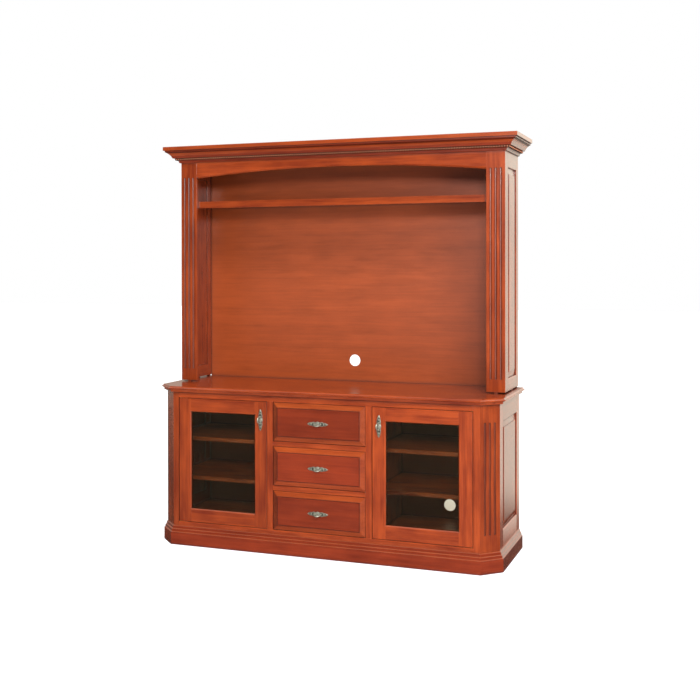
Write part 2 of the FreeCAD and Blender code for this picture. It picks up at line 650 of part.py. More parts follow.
def drawers():
    """Raised fronts, boxes, slides and pulls, from the lowest drawer to the highest."""
    cabinet_members = []
    handle = pull()
    for number, name in enumerate(("bottom", "middle", "top")):
        opening = BOTTOM_RAIL_TOP + number * DRAWER_PITCH
        middle = opening + DRAWER_OPENING_HEIGHT / 2
        front = raised_panel(DRAWER_OPENING_WIDTH - 2 * DRAWER_GAP,
                             DRAWER_OPENING_HEIGHT - 2 * DRAWER_GAP, BOARD, 0, DRAWER_RISE,
                             DRAWER_BEVEL, DRAWER_STEP)
        front.translate(Vector(0, 0, middle))
        save(f"drawer_{name}_front", front)
        box_low = opening + BOX_LIFT
        save(f"drawer_{name}_box", *drawer_box(box_low))
        slide_z = box_low + BOX_HEIGHT / 2
        box_side = DRAWER_SIDE - SLIDE_SPACE
        lip_gap = SLIDE_GAUGE + SLIDE_CLEARANCE
        moving = channel(box_side, DRAWER_SIDE - lip_gap, SLIDE_HALF_HEIGHT - lip_gap, slide_z)
        fixed = channel(DRAWER_SIDE, box_side + lip_gap, SLIDE_HALF_HEIGHT, slide_z)
        save(f"drawer_{name}_slides", *both(moving))
        cabinet_members += both(fixed)
        placed = handle.copy()
        placed.translate(Vector(0, 0, middle))
        save(f"drawer_{name}_pull", placed)
    save("cabinet_slides", *cabinet_members)


def hutch():
    """Open upper case: pilasters, arched rail, sides, shelf, top board, back and feet."""
    members, panel = side_wall(HUTCH_SIDE, BEHIND_PILASTER, HUTCH_BASE, HUTCH_TOP_Z,
                               HUTCH_SIDE_STILE, HUTCH_SIDE_TOP_RAIL, HUTCH_SIDE_BOTTOM_RAIL)
    pilaster = box(PILASTER_INNER, HUTCH_SIDE, HUTCH_FRONT, BEHIND_PILASTER, HUTCH_BASE,
                   HUTCH_TOP_Z)
    cutters = flute_cutters(HUTCH_BASE + PILASTER_FLUTE_RISE, HUTCH_TOP_Z - PILASTER_FLUTE_DROP,
                            PILASTER_FLUTE_PITCH)
    for cutter in cutters:
        cutter.translate(Vector(HUTCH_SIDE - PILASTER_WIDTH / 2, HUTCH_FRONT, 0))
    pilaster = pilaster.cut(cutters)
    for number, name in enumerate(HANDS):
        save(f"hutch_side_frame_{name}", *[both(member)[number] for member in members])
        save(f"hutch_pilaster_{name}", both(pilaster)[number])
    save("hutch_side_panels", *both(panel))

    rise = ARCHED_RAIL_ENDS - ARCHED_RAIL_MIDDLE
    radius = (PILASTER_INNER ** 2 + rise ** 2) / (2 * rise)
    centre = Vector(0, HUTCH_FRONT, HUTCH_TOP_Z - ARCHED_RAIL_MIDDLE - radius)
    rail = box(-PILASTER_INNER, PILASTER_INNER, HUTCH_FRONT, BEHIND_PILASTER,
               HUTCH_TOP_Z - ARCHED_RAIL_ENDS, HUTCH_TOP_Z)
    arch = Part.makeCylinder(radius, BOARD, centre, Vector(0, 1, 0))
    bevel = Part.makeCone(radius + ARCH_CHAMFER, radius, ARCH_CHAMFER, centre, Vector(0, 1, 0))
    save("hutch_arched_rail", rail.cut([arch, bevel]).Solids[0])

    shelf_front = BEHIND_PILASTER + BOARD
    save("hutch_shelf",
         box(-HUTCH_INSIDE, HUTCH_INSIDE, shelf_front, INSIDE_BACK,
             HUTCH_SHELF_TOP_Z - HUTCH_SHELF_THICKNESS, HUTCH_SHELF_TOP_Z))
    save("hutch_shelf_nosing",
         box(-HUTCH_INSIDE, HUTCH_INSIDE, BEHIND_PILASTER, shelf_front,
             HUTCH_SHELF_TOP_Z - HUTCH_NOSING_HEIGHT, HUTCH_SHELF_TOP_Z))
    save("hutch_top_board", box(-HUTCH_INSIDE, HUTCH_INSIDE, BEHIND_PILASTER, INSIDE_BACK,
                                HUTCH_TOP_Z - BOARD, HUTCH_TOP_Z))
    back = box(-HUTCH_INSIDE, HUTCH_INSIDE, INSIDE_BACK, PANEL_BACK, TOP_Z, HUTCH_TOP_Z)
    hole = Part.makeCylinder(CABLE_HOLE_RADIUS, BACK_THICKNESS,
                             Vector(0, INSIDE_BACK, TOP_Z + HUTCH_CABLE_HOLE_RISE),
                             Vector(0, 1, 0))
    save("hutch_back", back.cut(hole))

    side_line = HUTCH_SIDE - BOARD / 2
    side_depth = CASE_DEPTH - BEHIND_PILASTER
    places = [(HUTCH_SIDE - PILASTER_WIDTH / 2, HUTCH_FRONT + BOARD / 2),
              (side_line, BEHIND_PILASTER + side_depth / 2),
              (side_line, CASE_DEPTH - HUTCH_SIDE_STILE / 2)]
    half = HUTCH_FOOT_SIZE / 2
    feet = [box(x - half, x + half, y - half, y + half, TOP_Z, HUTCH_BASE) for x, y in places]
    save("hutch_feet", *[shape for foot in feet for shape in both(foot)])


def crown():
    """Cove moulding with a small band at its foot and a bead strip between them."""
    path = [Vector(-HUTCH_SIDE, CASE_DEPTH, 0), Vector(-HUTCH_SIDE, HUTCH_FRONT, 0),
            Vector(HUTCH_SIDE, HUTCH_FRONT, 0), Vector(HUTCH_SIDE, CASE_DEPTH, 0)]
    band_top = CROWN_FOOT_Z + CROWN_BAND_HEIGHT
    seat_low = band_top + CROWN_SEAT_RISE
    seat_high = seat_low + 2 * BEAD_RADIUS
    cove_top = CROWN_PROJECTION - CROWN_LIP
    fillet_low = CROWN_TOP_Z - CROWN_FILLET
    steps = [(0, CROWN_FOOT_Z), (CROWN_BAND / 2, CROWN_FOOT_Z),
             curve((CROWN_BAND / 2, CROWN_FOOT_Z), (CROWN_BAND, CROWN_FOOT_Z + CROWN_BAND / 2),
                   -QUARTER_BULGE),
             (CROWN_BAND, band_top),
             curve((CROWN_BAND, band_top), (CROWN_BEAD_SEAT, seat_low), QUARTER_BULGE),
             (CROWN_BEAD_SEAT, seat_high), (CROWN_COVE_FOOT, seat_high),
             curve((CROWN_COVE_FOOT, seat_high), (cove_top, fillet_low - CROWN_LIP),
                   QUARTER_BULGE / 2),
             (cove_top, fillet_low), (CROWN_PROJECTION, fillet_low),
             (CROWN_PROJECTION, CROWN_TOP_Z), (0, CROWN_TOP_Z)]
    left, front, right = moulding(steps, path)
    save("crown_front", front)
    save("crown_returns", left, right)
    back, out = CROWN_BEAD_SEAT, CROWN_BEAD_SEAT + BEAD_RADIUS
    strip = [(back, seat_low), (out, seat_low),
             ((out + BEAD_RADIUS, seat_low + BEAD_RADIUS), (out, seat_high)), (back, seat_high)]
    save("crown_bead_strip", *moulding(strip, path))


def main():
    os.makedirs("parts", exist_ok=True)
    plinth()
    console_top()
    face_frame()
    corner_posts()
    console_carcase()
    drawers()
    doors()
    hutch()
    crown()


main()
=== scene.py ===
"""Television armoire in glazed cherry, dressed piece by piece over the frame of its joints.

Metres. X runs to the right, Y to the back and Z up, with the origin on the floor. Every piece
is made where it stands, on the object at the origin.
"""
import json
import math
import random

import bmesh
import bpy
from mathutils import Matrix, Vector


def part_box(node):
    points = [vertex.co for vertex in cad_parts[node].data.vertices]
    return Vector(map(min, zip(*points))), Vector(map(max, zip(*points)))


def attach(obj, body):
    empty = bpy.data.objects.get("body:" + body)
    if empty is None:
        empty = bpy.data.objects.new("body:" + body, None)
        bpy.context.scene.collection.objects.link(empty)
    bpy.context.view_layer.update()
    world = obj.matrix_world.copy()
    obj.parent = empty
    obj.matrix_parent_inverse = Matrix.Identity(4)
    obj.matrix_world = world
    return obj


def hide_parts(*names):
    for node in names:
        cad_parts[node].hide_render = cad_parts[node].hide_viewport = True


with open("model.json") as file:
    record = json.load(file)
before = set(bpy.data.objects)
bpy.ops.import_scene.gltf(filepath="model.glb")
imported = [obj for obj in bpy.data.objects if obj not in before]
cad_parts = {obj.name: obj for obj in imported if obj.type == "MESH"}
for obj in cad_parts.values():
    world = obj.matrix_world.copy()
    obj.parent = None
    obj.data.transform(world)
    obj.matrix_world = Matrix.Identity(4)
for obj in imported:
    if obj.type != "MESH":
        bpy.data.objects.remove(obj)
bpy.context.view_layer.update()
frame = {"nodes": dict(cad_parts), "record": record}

bl_info = {
    "name": "Television Armoire",
    "version": (1, 0, 0),
    "blender": (4, 5, 0),
    "location": "View3D > Sidebar > Armoire",
    "description": "Dresses a cherry television armoire with its boards, beads, pulls and hardware",
    "category": "Object",
}

RECORD = frame["record"]
BODY_OF = {node: body for body, nodes in RECORD["behaviour"]["bodies"].items() for node in nodes}
HANDS = ("left", "right")
LEVELS = ("bottom", "middle", "top")

DRAWER_RISE = 0.009  # how far the fronts' fields stand before their edges
CROWN_FILLET = 0.022  # height of the fillet at the crown's top
CROWN_UPPER = 0.052  # height of the crown above its beads' cove
FLUTE_STRIP = 0.008  # every strip of a flute is narrower than this

WHOLE_RANGE = (0.0, 1.0)
TONES = {  # how light the boards of some pieces are, in that range
    "plinth": (0.3, 0.6), "crown_moulding": (0.1, 0.4), "hutch_shelf_boards": (0.0, 0.2),
    "corner_post_left": (0.1, 0.3), "corner_post_right": (0.1, 0.3),
    # The right door is paler than the left: painted light from the right.
    "door_left_members": (0.30, 0.55), "door_right_members": (0.80, 1.0),
    "door_bay_shelves": (0.9, 1.0), "drawer_bottom_raised_front": (0.25, 0.25),
    "drawer_middle_raised_front": (0.75, 0.75), "drawer_top_raised_front": (0.05, 0.05)}


# ---------------- sizes and colours

def length(label, text, default, low=0.0):
    return bpy.props.FloatProperty(
        name=label, description=text, default=default, min=low, unit="LENGTH", precision=4)


def colour(label, text, default):
    return bpy.props.FloatVectorProperty(
        name=label, description=text, default=default, size=3, min=0.0, max=1.0, subtype="COLOR")


def share(label, text, default):
    return bpy.props.FloatProperty(
        name=label, description=text, default=default, min=0.0, max=1.0, subtype="FACTOR")


def amount(label, text, default, unit="NONE"):
    return bpy.props.FloatProperty(
        name=label, description=text, default=default, min=0.0, unit=unit)


class ArmoireWood(bpy.types.PropertyGroup):
    light: colour("Light cherry", "Pale bands of the lacquered cherry", (0.31, 0.047, 0.0075))
    dark: colour("Dark cherry", "Dark bands of the lacquered cherry", (0.125, 0.014, 0.0040))
    red: colour("Red cherry", "Red heartwood of the fields and the plinth", (0.22, 0.026, 0.0060))
    # Much paler than the cherry outside, so that the boards read lit behind the tinted glass:
    # painted light.
    inner: colour("Inner cherry", "Boards inside the console", (0.56, 0.135, 0.032))
    ply: colour("Back panels", "Stained veneer of the back panels", (0.42, 0.073, 0.013))
    maple: colour("Maple", "Drawer boxes", (0.62, 0.40, 0.20))
    arris: length("Arris", "Width of the eased edges of the boards", 0.0006)
    proud: length("Proud fields", "How far the drawers' raised fields stand out", 0.011)
    lip: length("Lip", "How deep the drawer fronts' edges lie behind the face frame", 0.002)
    # The dark line round the fields is painted shade of their step, with some glazing.
    line: length("Glaze line", "Width of the dark line round the drawers' fields", 0.0035)
    gloss: share("Roughness", "Roughness of the lacquered boards", 0.24)
    coat: share("Lacquer", "Weight of the clear lacquer", 0.55)
    coat_roughness: share("Lacquer roughness", "Roughness of the clear lacquer", 0.14)


class ArmoireBeads(bpy.types.PropertyGroup):
    pitch: length("Pitch", "Distance between the crown's beads", 0.0134, 0.001)
    fullness: share("Fullness", "How much of the strip's height a bead takes", 0.62)
    backing: length("Backing", "Thickness of the strip behind the beads", 0.0045)


class ArmoirePulls(bpy.types.PropertyGroup):
    leaf_width: length("Leaf width", "Width of the leaf-shaped plate", 0.026)
    rim: length("Rim", "Thickness of the plate at its edge", 0.0014)
    dome: length("Dome", "Rise of the plate's middle above its edge", 0.0026)
    half_span: length("Half span", "From the middle of the pull to each leg of the bail", 0.017)
    bar: length("Bar", "Radius of the bail where it leaves the plate", 0.0021)
    swell: length("Swell", "How much thicker the bail is in its middle", 0.0011)
    droop: bpy.props.FloatProperty(
        name="Droop", description="How far the bail points down", default=math.radians(23),
        subtype="ANGLE")
    pewter: colour("Pewter", "Polished high places of the pulls", (0.55, 0.54, 0.44))
    patina: colour("Patina", "Dark recesses of the pulls", (0.030, 0.030, 0.020))


class ArmoireScrews(bpy.types.PropertyGroup):
    radius: length("Head radius", "Radius of the back panels' screw heads", 0.0042)
    height: length("Head height", "Height of the screw heads", 0.0022)
    pitch: length("Pitch", "Distance between screws along a panel's edge", 0.16, 0.02)
    margin: length("Margin", "From the panel's edge to its screws", 0.012)


class ArmoireGlass(bpy.types.PropertyGroup):
    tint: colour("Tint", "What one face of the glass lets through", (0.80, 0.78, 0.70))
    haze: share("Haze", "How much of the light the glass scatters", 0.0035)
    seed: length("Seed spacing", "Distance between the small bubbles in the glass", 0.016, 0.001)


class ArmoireStage(bpy.types.PropertyGroup):
    floor: colour("Floor", "Colour of the floor", (0.87, 0.91, 1.0))
    floor_size: length("Floor size", "Width of the floor", 60.0)
    glow: amount("Floor glow", "Light that the floor gives by itself", 0.22)
    wall: amount("White walls", "Brightness of the walls behind and at the right", 1.1)
    gloom: amount("Dark side", "Brightness of the room before the armoire", 0.05)
    ceiling: amount("Ceiling", "Brightness of the ceiling", 1.1)
    front: amount("Front light", "Strength of the soft light from above", 2.35)
    key: amount("Key light", "Power of the wide lamp beside the camera", 215.0, "POWER")
    strip: amount("Strip light", "Power of the tall lamp at the right", 190.0, "POWER")


# ---------------- node trees

def sums(operation):
    """A Wire's operator that adds one Math node, and its reflected form."""
    def forwards(self, other):
        return self.math(operation, self, other)

    def reflected(self, other):
        return self.math(operation, other, self)

    return forwards, reflected


class Wire:
    """Output of a node that takes part in sums."""

    def __init__(self, graph, socket):
        self.graph = graph
        self.socket = socket

    def math(self, operation, first, second):
        return self.graph.node("ShaderNodeMath", {0: first, 1: second}, operation=operation)

    __add__, __radd__ = sums("ADD")
    __sub__, __rsub__ = sums("SUBTRACT")
    __mul__, __rmul__ = sums("MULTIPLY")
    __lt__, __gt__ = sums("LESS_THAN")


class Graph:
    """A node tree, whose sums are written with the operators of Wire."""

    def __init__(self, tree):
        self.tree = tree

    def node(self, kind, sockets=None, output=0, **settings):
        """A node with its settings, which come first, and the values and links of its sockets."""
        made = self.tree.nodes.new(kind)
        for name, value in settings.items():
            setattr(made, name, value)
        for key, value in (sockets or {}).items():
            if isinstance(value, Wire):
                self.tree.links.new(value.socket, made.inputs[key])
            else:
                made.inputs[key].default_value = value
        return Wire(self, made.outputs[output]) if made.outputs else made

    def blend(self, factor, first, second, mode="MIX"):
        """Colour between two colours."""
        return self.node("ShaderNodeMix", {0: factor, 6: solid(first), 7: solid(second)},
                         output=2, data_type="RGBA", blend_type=mode, clamp_factor=True)

    def ramp(self, value, low, high):
        """A value stretched so that low becomes 0 and high becomes 1."""
        return self.node("ShaderNodeMapRange", {"Value": value, "From Min": low, "From Max": high})

    def place(self):
        """Where a point of the surface is on its object."""
        return self.node("ShaderNodeTexCoord", output="Object")

    def attribute(self, name, output="Fac"):
        return self.node("ShaderNodeAttribute", output=output, attribute_name=name)

    def stretched(self, place, scale):
        return self.node("ShaderNodeMapping", {"Vector": place, "Scale": scale})

    def noise(self, place, scale, detail):
        return self.node("ShaderNodeTexNoise", {"Vector": place, "Scale": scale, "Detail": detail})

    def spacing(self, place, scale):
        """Distance to the nearest of many scattered points."""
        return self.node("ShaderNodeTexVoronoi", {"Vector": place, "Scale": scale},
                         output="Distance", feature="F1")

    def bump(self, height, distance, strength):
        return self.node("ShaderNodeBump", {
            "Height": height, "Distance": distance, "Strength": strength})

    def show(self, shader):
        """Let a shader be what the material shows."""
        self.node("ShaderNodeOutputMaterial", {"Surface": shader})

    def surface(self, sockets):
        """Let a principled surface be what the material shows."""
        self.show(self.node("ShaderNodeBsdfPrincipled", sockets))


def solid(value):
    """A colour with its alpha, or a Wire as it is."""
    return value if isinstance(value, Wire) else (*value[:3], 1.0)


def scaled(tint, factor):
    """A colour made darker or lighter."""
    return [min(1.0, part * factor) for part in tint]


def material(name):
    """An empty material and the graph that fills it."""
    made = bpy.data.materials.new(name)
    made.use_nodes = True
    made.node_tree.nodes.clear()
    return made, Graph(made.node_tree)


# ---------------- materials

MARKS = ("arris", "lit_and_rubbed", "shade_and_glaze")  # what the wood shader reads of each face: eased arrises, faces painted lighter (painted light and some wear from rubbing), and faces painted darker (painted shade and some glazing)
SHADE_REACH = 0.016  # how far the painted shade in corners, which also stands for glazing, reaches out of them
OPEN_SHARES = (0.30, 0.92)  # how open a place is at full painted shade and at none
LIT_AND_RUBBED_LIGHT = (0.40, 0.080, 0.014)  # faces painted lighter than their board: painted light, and some wear from rubbing
LIT_AND_RUBBED_DARK = (0.24, 0.036, 0.0075)
DARKEST_TONE, LIGHTEST_TONE = 0.80, 1.16  # what a board's tone multiplies its colour by
STAIN_GREY = (0.36, 0.40, 0.27)  # dull stains on the pewter
CLEAR_WHITE = (1.0, 1.0, 1.0, 1.0)
WARM_HAZE = (0.95, 0.72, 0.45, 1.0)  # light that the glass scatters
FLOOR_GLOW = (0.95, 0.97, 1.0, 1.0)


def wood(name, light, dark, roughness, coat=0.0, coat_roughness=0.1, contrast=1.0):
    """Cherry, or another close-grained wood, that runs along each board's own length."""
    made, graph = material(name)
    board = graph.attribute("board", "Vector")
    tone = graph.attribute("tone")
    arris, lit_and_rubbed, shade_and_glaze = (graph.attribute(mark) for mark in MARKS)
    # Ambient occlusion darkens the colour where the surroundings close in: painted shade in corners
    # and recesses, which also stands for glazing there.
    open_share = graph.node("ShaderNodeAmbientOcclusion", {"Distance": SHADE_REACH},
                            output="AO", samples=6)

    def drawn_out(along, across):
        """The board's own places, measured in lengths along it and widths across it."""
        return graph.stretched(board, (1 / along, 1 / across, 1 / across))

    bands = graph.noise(drawn_out(0.60, 0.050), 1.0, 3.0)
    streaks = graph.noise(drawn_out(0.14, 0.008), 1.0, 4.0)
    fibres = graph.noise(drawn_out(0.030, 0.0011), 1.0, 2.0)
    blotches = graph.noise(drawn_out(0.17, 0.085), 1.0, 3.0)
    rings = graph.node("ShaderNodeTexWave", {
        "Vector": drawn_out(1.3, 0.11), "Scale": 1.0, "Distortion": 5.0, "Detail": 2.0,
        "Detail Scale": 1.2}, output="Fac", bands_direction="Y", wave_profile="SAW")
    figure = 0.5
    for pattern, weight in ((bands, 1.1), (streaks, 1.0), (blotches, 1.2), (rings, 0.22),
                            (fibres, 0.25)):
        figure = figure + (pattern - 0.5) * (weight * contrast)
    base = graph.blend(figure, dark, light)
    flecks = graph.spacing(drawn_out(0.020, 0.0030), 1.0) < 0.13
    base = graph.blend(flecks * 0.45, base, scaled(dark, 0.35))
    tone = DARKEST_TONE + tone * (LIGHTEST_TONE - DARKEST_TONE)
    base = graph.blend(1.0, base, tone, "MULTIPLY")
    # Faces marked lighter take a paler cherry: painted light, and some wear from rubbing.
    lit_and_wiped = graph.blend(lit_and_rubbed * 0.7, base, graph.blend(figure, LIT_AND_RUBBED_DARK, LIT_AND_RUBBED_LIGHT))
    worn_and_shaded = graph.blend(arris * blotches * 0.9, lit_and_wiped, scaled(light, 1.5))
    # Painted shade: darker where the occlusion is high and where faces are marked darker, also
    # standing for glazing; the same places get rougher and lose lacquer.
    shaded_and_glazed = 1 - graph.ramp(open_share, *OPEN_SHARES)
    worn_and_shaded = graph.blend(shade_and_glaze * 0.75 + shaded_and_glazed * 0.85, worn_and_shaded, scaled(dark, 0.20))
    rough = (roughness + (streaks - 0.5) * 0.10 + (fibres - 0.5) * 0.06
             + shaded_and_glazed * 0.30 + shade_and_glaze * 0.10)
    height = streaks * 0.6 + fibres * 0.4
    graph.surface({
        "Base Color": worn_and_shaded, "Roughness": rough,
        "Coat Weight": (1 - shaded_and_glazed * 0.65) * (1 - shade_and_glaze * 0.5) * coat if coat else 0.0,
        "Coat Roughness": coat_roughness, "Normal": graph.bump(height, 0.0001, 0.12)})
    return made


def turned_wood(name, light, dark, roughness, specular=0.5):
    """Small turned or carved cherry, with a figure that follows no board."""
    made, graph = material(name)
    figure = graph.noise(graph.place(), 40.0, 3.0)
    graph.surface({
        "Base Color": graph.blend(figure, dark, light), "Roughness": roughness + figure * 0.12,
        "Specular IOR Level": specular, "Normal": graph.bump(figure, 0.0002, 0.3)})
    return made


def pewter(pulls):
    """Cast pewter, bright on its high places and dark in its recesses."""
    made, graph = material("antiqued pewter")
    relief = graph.attribute("relief")
    place = graph.place()
    grain = graph.noise(place, 420.0, 4.0)
    stains = graph.noise(place, 70.0, 3.0)
    height = graph.ramp(relief + (stains - 0.5) * 0.6, 0.45, 0.95)
    base = graph.blend(height, pulls.patina, pulls.pewter)
    base = graph.blend(graph.ramp(stains, 0.5, 0.75) * 0.35, base, STAIN_GREY)
    graph.surface({
        "Base Color": base, "Metallic": 0.85 - 0.5 * (1 - height),
        "Roughness": 0.55 - height * 0.22 + (grain - 0.5) * 0.2,
        "Normal": graph.bump(grain, 0.0003, 0.5)})
    return made


def metal(name, bright, dull, roughness, stretch):
    """Drawn or plated metal with fine lines along one axis."""
    made, graph = material(name)
    place = graph.place()
    lines = graph.noise(graph.stretched(place, stretch), 1.0, 3.0)
    spots = graph.noise(place, 90.0, 4.0)
    base = graph.blend(graph.ramp(spots, 0.35, 0.75), bright, dull)
    graph.surface({
        "Base Color": base, "Metallic": 1.0,
        "Roughness": roughness + (lines - 0.5) * 0.25 + (spots - 0.5) * 0.15,
        "Normal": graph.bump(lines, 0.0001, 0.3)})
    return made


def plastic():
    """Dark moulded plastic of the catches."""
    made, graph = material("moulded plastic")
    place = graph.place()
    skin = graph.noise(place, 900.0, 2.0)
    shades = graph.noise(place, 25.0, 2.0)
    base = graph.blend(shades, (0.016, 0.013, 0.011), (0.030, 0.024, 0.020))
    graph.surface({
        "Base Color": base, "Roughness": 0.45 + (skin - 0.5) * 0.2,
        "Normal": graph.bump(skin, 0.0001, 0.4)})
    return made


def seeded_glass(glass):
    """Tinted glass with small bubbles and a slight wave, which lets lamps through."""
    made, graph = material("seeded glass")
    place = graph.place()
    cells = graph.spacing(place, 1 / glass.seed)
    wave = graph.noise(place, 9.0, 1.0)
    seeds = 1 - graph.ramp(cells, 0.05, 0.11)
    normal = graph.bump(wave + seeds * 0.2, 0.0015, 0.5)
    through = graph.node("ShaderNodeBsdfTransparent", {"Color": solid(glass.tint)})
    mirror = graph.node("ShaderNodeBsdfGlossy", {
        "Color": CLEAR_WHITE, "Roughness": 0.03, "Normal": normal})
    fresnel = graph.node("ShaderNodeFresnel", {"IOR": 1.5, "Normal": normal})
    haze = graph.node("ShaderNodeBsdfDiffuse", {"Color": WARM_HAZE})
    body = graph.node("ShaderNodeMixShader", {0: glass.haze + wave * 0.003, 1: through, 2: haze})
    graph.show(graph.node("ShaderNodeMixShader", {0: fresnel + seeds * 0.10, 1: body, 2: mirror}))
    return made


def floor_paint(stage):
    """Pale studio floor with a faint unevenness."""
    made, graph = material("studio floor")
    cloud = graph.noise(graph.place(), 0.8, 2.0)
    graph.surface({
        "Base Color": graph.blend(cloud, stage.floor, scaled(stage.floor, 0.99)),
        "Roughness": 0.75, "Emission Color": FLOOR_GLOW, "Emission Strength": stage.glow})
    return made


FINISHES = {}


def finish(name):
    """The material of that name, made when it is first asked for."""
    scene = bpy.context.scene
    tint = scene.armoire_wood
    lacquer = (tint.gloss, tint.coat, tint.coat_roughness)
    makers = {
        "cherry": lambda: wood("lacquered cherry", tint.light, tint.dark, *lacquer),
        "heartwood": lambda: wood("cherry heartwood", tint.red, tint.dark, *lacquer),
        "inner": lambda: wood(
            "satin cherry", tint.inner, tint.dark, roughness=0.38, coat=0.2, coat_roughness=0.2),
        "ply": lambda: wood("stained veneer", tint.ply, scaled(tint.ply, 0.55),
                            roughness=0.42, coat=0.15, coat_roughness=0.2, contrast=0.6),
        "maple": lambda: wood("clear maple", tint.maple, scaled(tint.maple, 0.72),
                              roughness=0.36, coat=0.25, coat_roughness=0.15, contrast=0.6),
        # The beads are painted far paler than the cherry: painted highlight.
        "beads": lambda: turned_wood(
            "bead cherry", light=(0.62, 0.25, 0.135), dark=(0.44, 0.15, 0.075), roughness=0.25),
        # The strip behind the beads is near black: painted shade in the recess, with some glazing.
        "recess": lambda: turned_wood("glazed recess", light=(0.035, 0.006, 0.002),
                                      dark=(0.012, 0.003, 0.001), roughness=0.5, specular=0.1),
        "pewter": lambda: pewter(scene.armoire_pulls),
        "steel": lambda: metal("zinc plated steel", bright=(0.62, 0.63, 0.65),
                               dull=(0.42, 0.43, 0.46), roughness=0.34,
                               stretch=(2000.0, 12.0, 2000.0)),
        "brass": lambda: metal("satin brass", bright=(0.70, 0.48, 0.18),
                               dull=(0.48, 0.32, 0.12), roughness=0.32,
                               stretch=(12.0, 1500.0, 1500.0)),
        "plastic": plastic,
        "glass": lambda: seeded_glass(scene.armoire_glass),
        "floor": lambda: floor_paint(scene.armoire_stage),
    }
    if name not in FINISHES:
        FINISHES[name] = makers[name]()
    return FINISHES[name]


# ---------------- boards from the frame

BOARD_ANGLE = math.radians(0.6)  # faces nearer than this to one plane become one face
EASED_ANGLE = math.radians(35)  # sharper arrises than this are eased
SMOOTH_ANGLE = math.radians(11)  # facets of a curve are shaded as one surface below this
FLUTE_ANGLE = math.radians(18)  # the same for the tight ends of the flutes
ROUND_ANGLE = math.radians(50)  # the same for the beads and the castings


def closed_solids(node):
    """Triangles of a CAD node, split into its closed solids, as lists of corner places."""
    mesh = frame["nodes"][node].data
    places = [tuple(round(part, 6) for part in vertex.co) for vertex in mesh.vertices]
    solids, group, open_edges = [], [], set()
    for polygon in mesh.polygons:
        corners = [places[index] for index in polygon.vertices]
        if len(set(corners)) < 3:
            continue
        group.append(corners)
        for edge in zip(corners, corners[1:] + corners[:1]):
            if edge[::-1] in open_edges:
                open_edges.remove(edge[::-1])
            else:
                open_edges.add(edge)
        if not open_edges:
            solids.append(group)
            group = []
    if group:
        raise RuntimeError(f"the node {node} has a solid that isn't closed")
    return solids


def narrow_width(face):
    """How narrow a face is: its area over its longest edge."""
    return face.calc_area() / max(edge.calc_length() for edge in face.edges)


def board_shape(triangles):
    """One solid as a mesh with whole faces and eased arrises."""
    ease = bpy.context.scene.armoire_wood.arris
    shape = bmesh.new()
    places = {place: shape.verts.new(place) for place in dict.fromkeys(sum(triangles, []))}
    for corners in triangles:
        shape.faces.new([places[place] for place in corners])
    shape.normal_update()
    bmesh.ops.dissolve_limit(
        shape, angle_limit=BOARD_ANGLE, verts=shape.verts[:], edges=shape.edges[:])
    arris, _, _ = (shape.faces.layers.float.new(mark) for mark in MARKS)
    shape.normal_update()
    arrises = [edge for edge in shape.edges
               if edge.is_manifold and edge.calc_face_angle_signed() > EASED_ANGLE
               and all(narrow_width(face) > 3 * ease for face in edge.link_faces)]
    if arrises:
        made = bmesh.ops.bevel(shape, geom=arrises, offset=ease, offset_type="OFFSET",
                               segments=2, profile=0.5, affect="EDGES", clamp_overlap=True)
        for face in made["faces"]:
            face[arris] = 1.0
    return shape


def board_axes(shape):
    """Along the grain, across it and through the board."""
    arrises = [edge for edge in shape.edges if edge.calc_face_angle(0) > BOARD_ANGLE]
    longest = max(arrises, key=lambda edge: edge.calc_length())
    along = (longest.verts[1].co - longest.verts[0].co).normalized()
    wide = max((face for face in shape.faces if abs(face.normal.dot(along)) < 0.1),
               key=lambda face: face.calc_area())
    across = wide.normal.cross(along).normalized()
    return along, across, along.cross(across)


def boards(name, nodes, dress="cherry", smooth=SMOOTH_ANGLE, shaping=None):
    """Copies of some CAD nodes' boards as one piece, with grain, eased arrises and smooth curves.

    shaping works on each board before its grain is laid. TONES says how light the boards are.
    """
    chance = random.Random(name)
    points, faces, grain, shades = [], [], [], []
    marks = {mark: [] for mark in MARKS}
    for node in nodes:
        for triangles in closed_solids(node):
            shape = board_shape(triangles)
            axes = board_axes(shape)
            if shaping:
                shaping(shape)
            shift = Vector([chance.uniform(-20, 20) for _ in range(3)])
            tone = chance.uniform(*TONES.get(name, WHOLE_RANGE))
            first = len(points)
            shape.verts.index_update()
            for vertex in shape.verts:
                points.append(vertex.co.copy())
                grain += [vertex.co.dot(axis) + part for axis, part in zip(axes, shift)]
                shades.append(tone)
            for face in shape.faces:
                faces.append([first + vertex.index for vertex in face.verts])
                for mark, values in marks.items():
                    values.append(face[shape.faces.layers.float[mark]])
            shape.free()
    mesh = bpy.data.meshes.new(name)
    mesh.from_pydata(points, [], faces)
    mesh.attributes.new("board", "FLOAT_VECTOR", "POINT").data.foreach_set("vector", grain)
    mesh.attributes.new("tone", "FLOAT", "POINT").data.foreach_set("value", shades)
    for mark, values in marks.items():
        mesh.attributes.new(mark, "FLOAT", "FACE").data.foreach_set("value", values)
    smooth_curves(mesh, smooth)
    settle(new_piece(name, mesh, dress), nodes)


def smooth_curves(mesh, angle):
    mesh.shade_smooth()
    mesh.set_sharp_from_angle(angle=angle)


def new_piece(name, mesh, dress):
    """Object in the scene with one mesh and one finish."""
    piece = bpy.data.objects.new(name, mesh)
    bpy.context.scene.collection.objects.link(piece)
    mesh.materials.clear()
    mesh.materials.append(finish(dress))
    return piece


def settle(piece, nodes):
    """Let a piece ride on the body of the nodes that it stands for, and hide those."""
    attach(piece, BODY_OF[nodes[0]])
    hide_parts(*nodes)


def paint(node, dress):
    """Give a CAD node that stays its finish."""
    piece = frame["nodes"][node]
    for slot in piece.material_slots:
        slot.link = "OBJECT"
        slot.material = finish(dress)


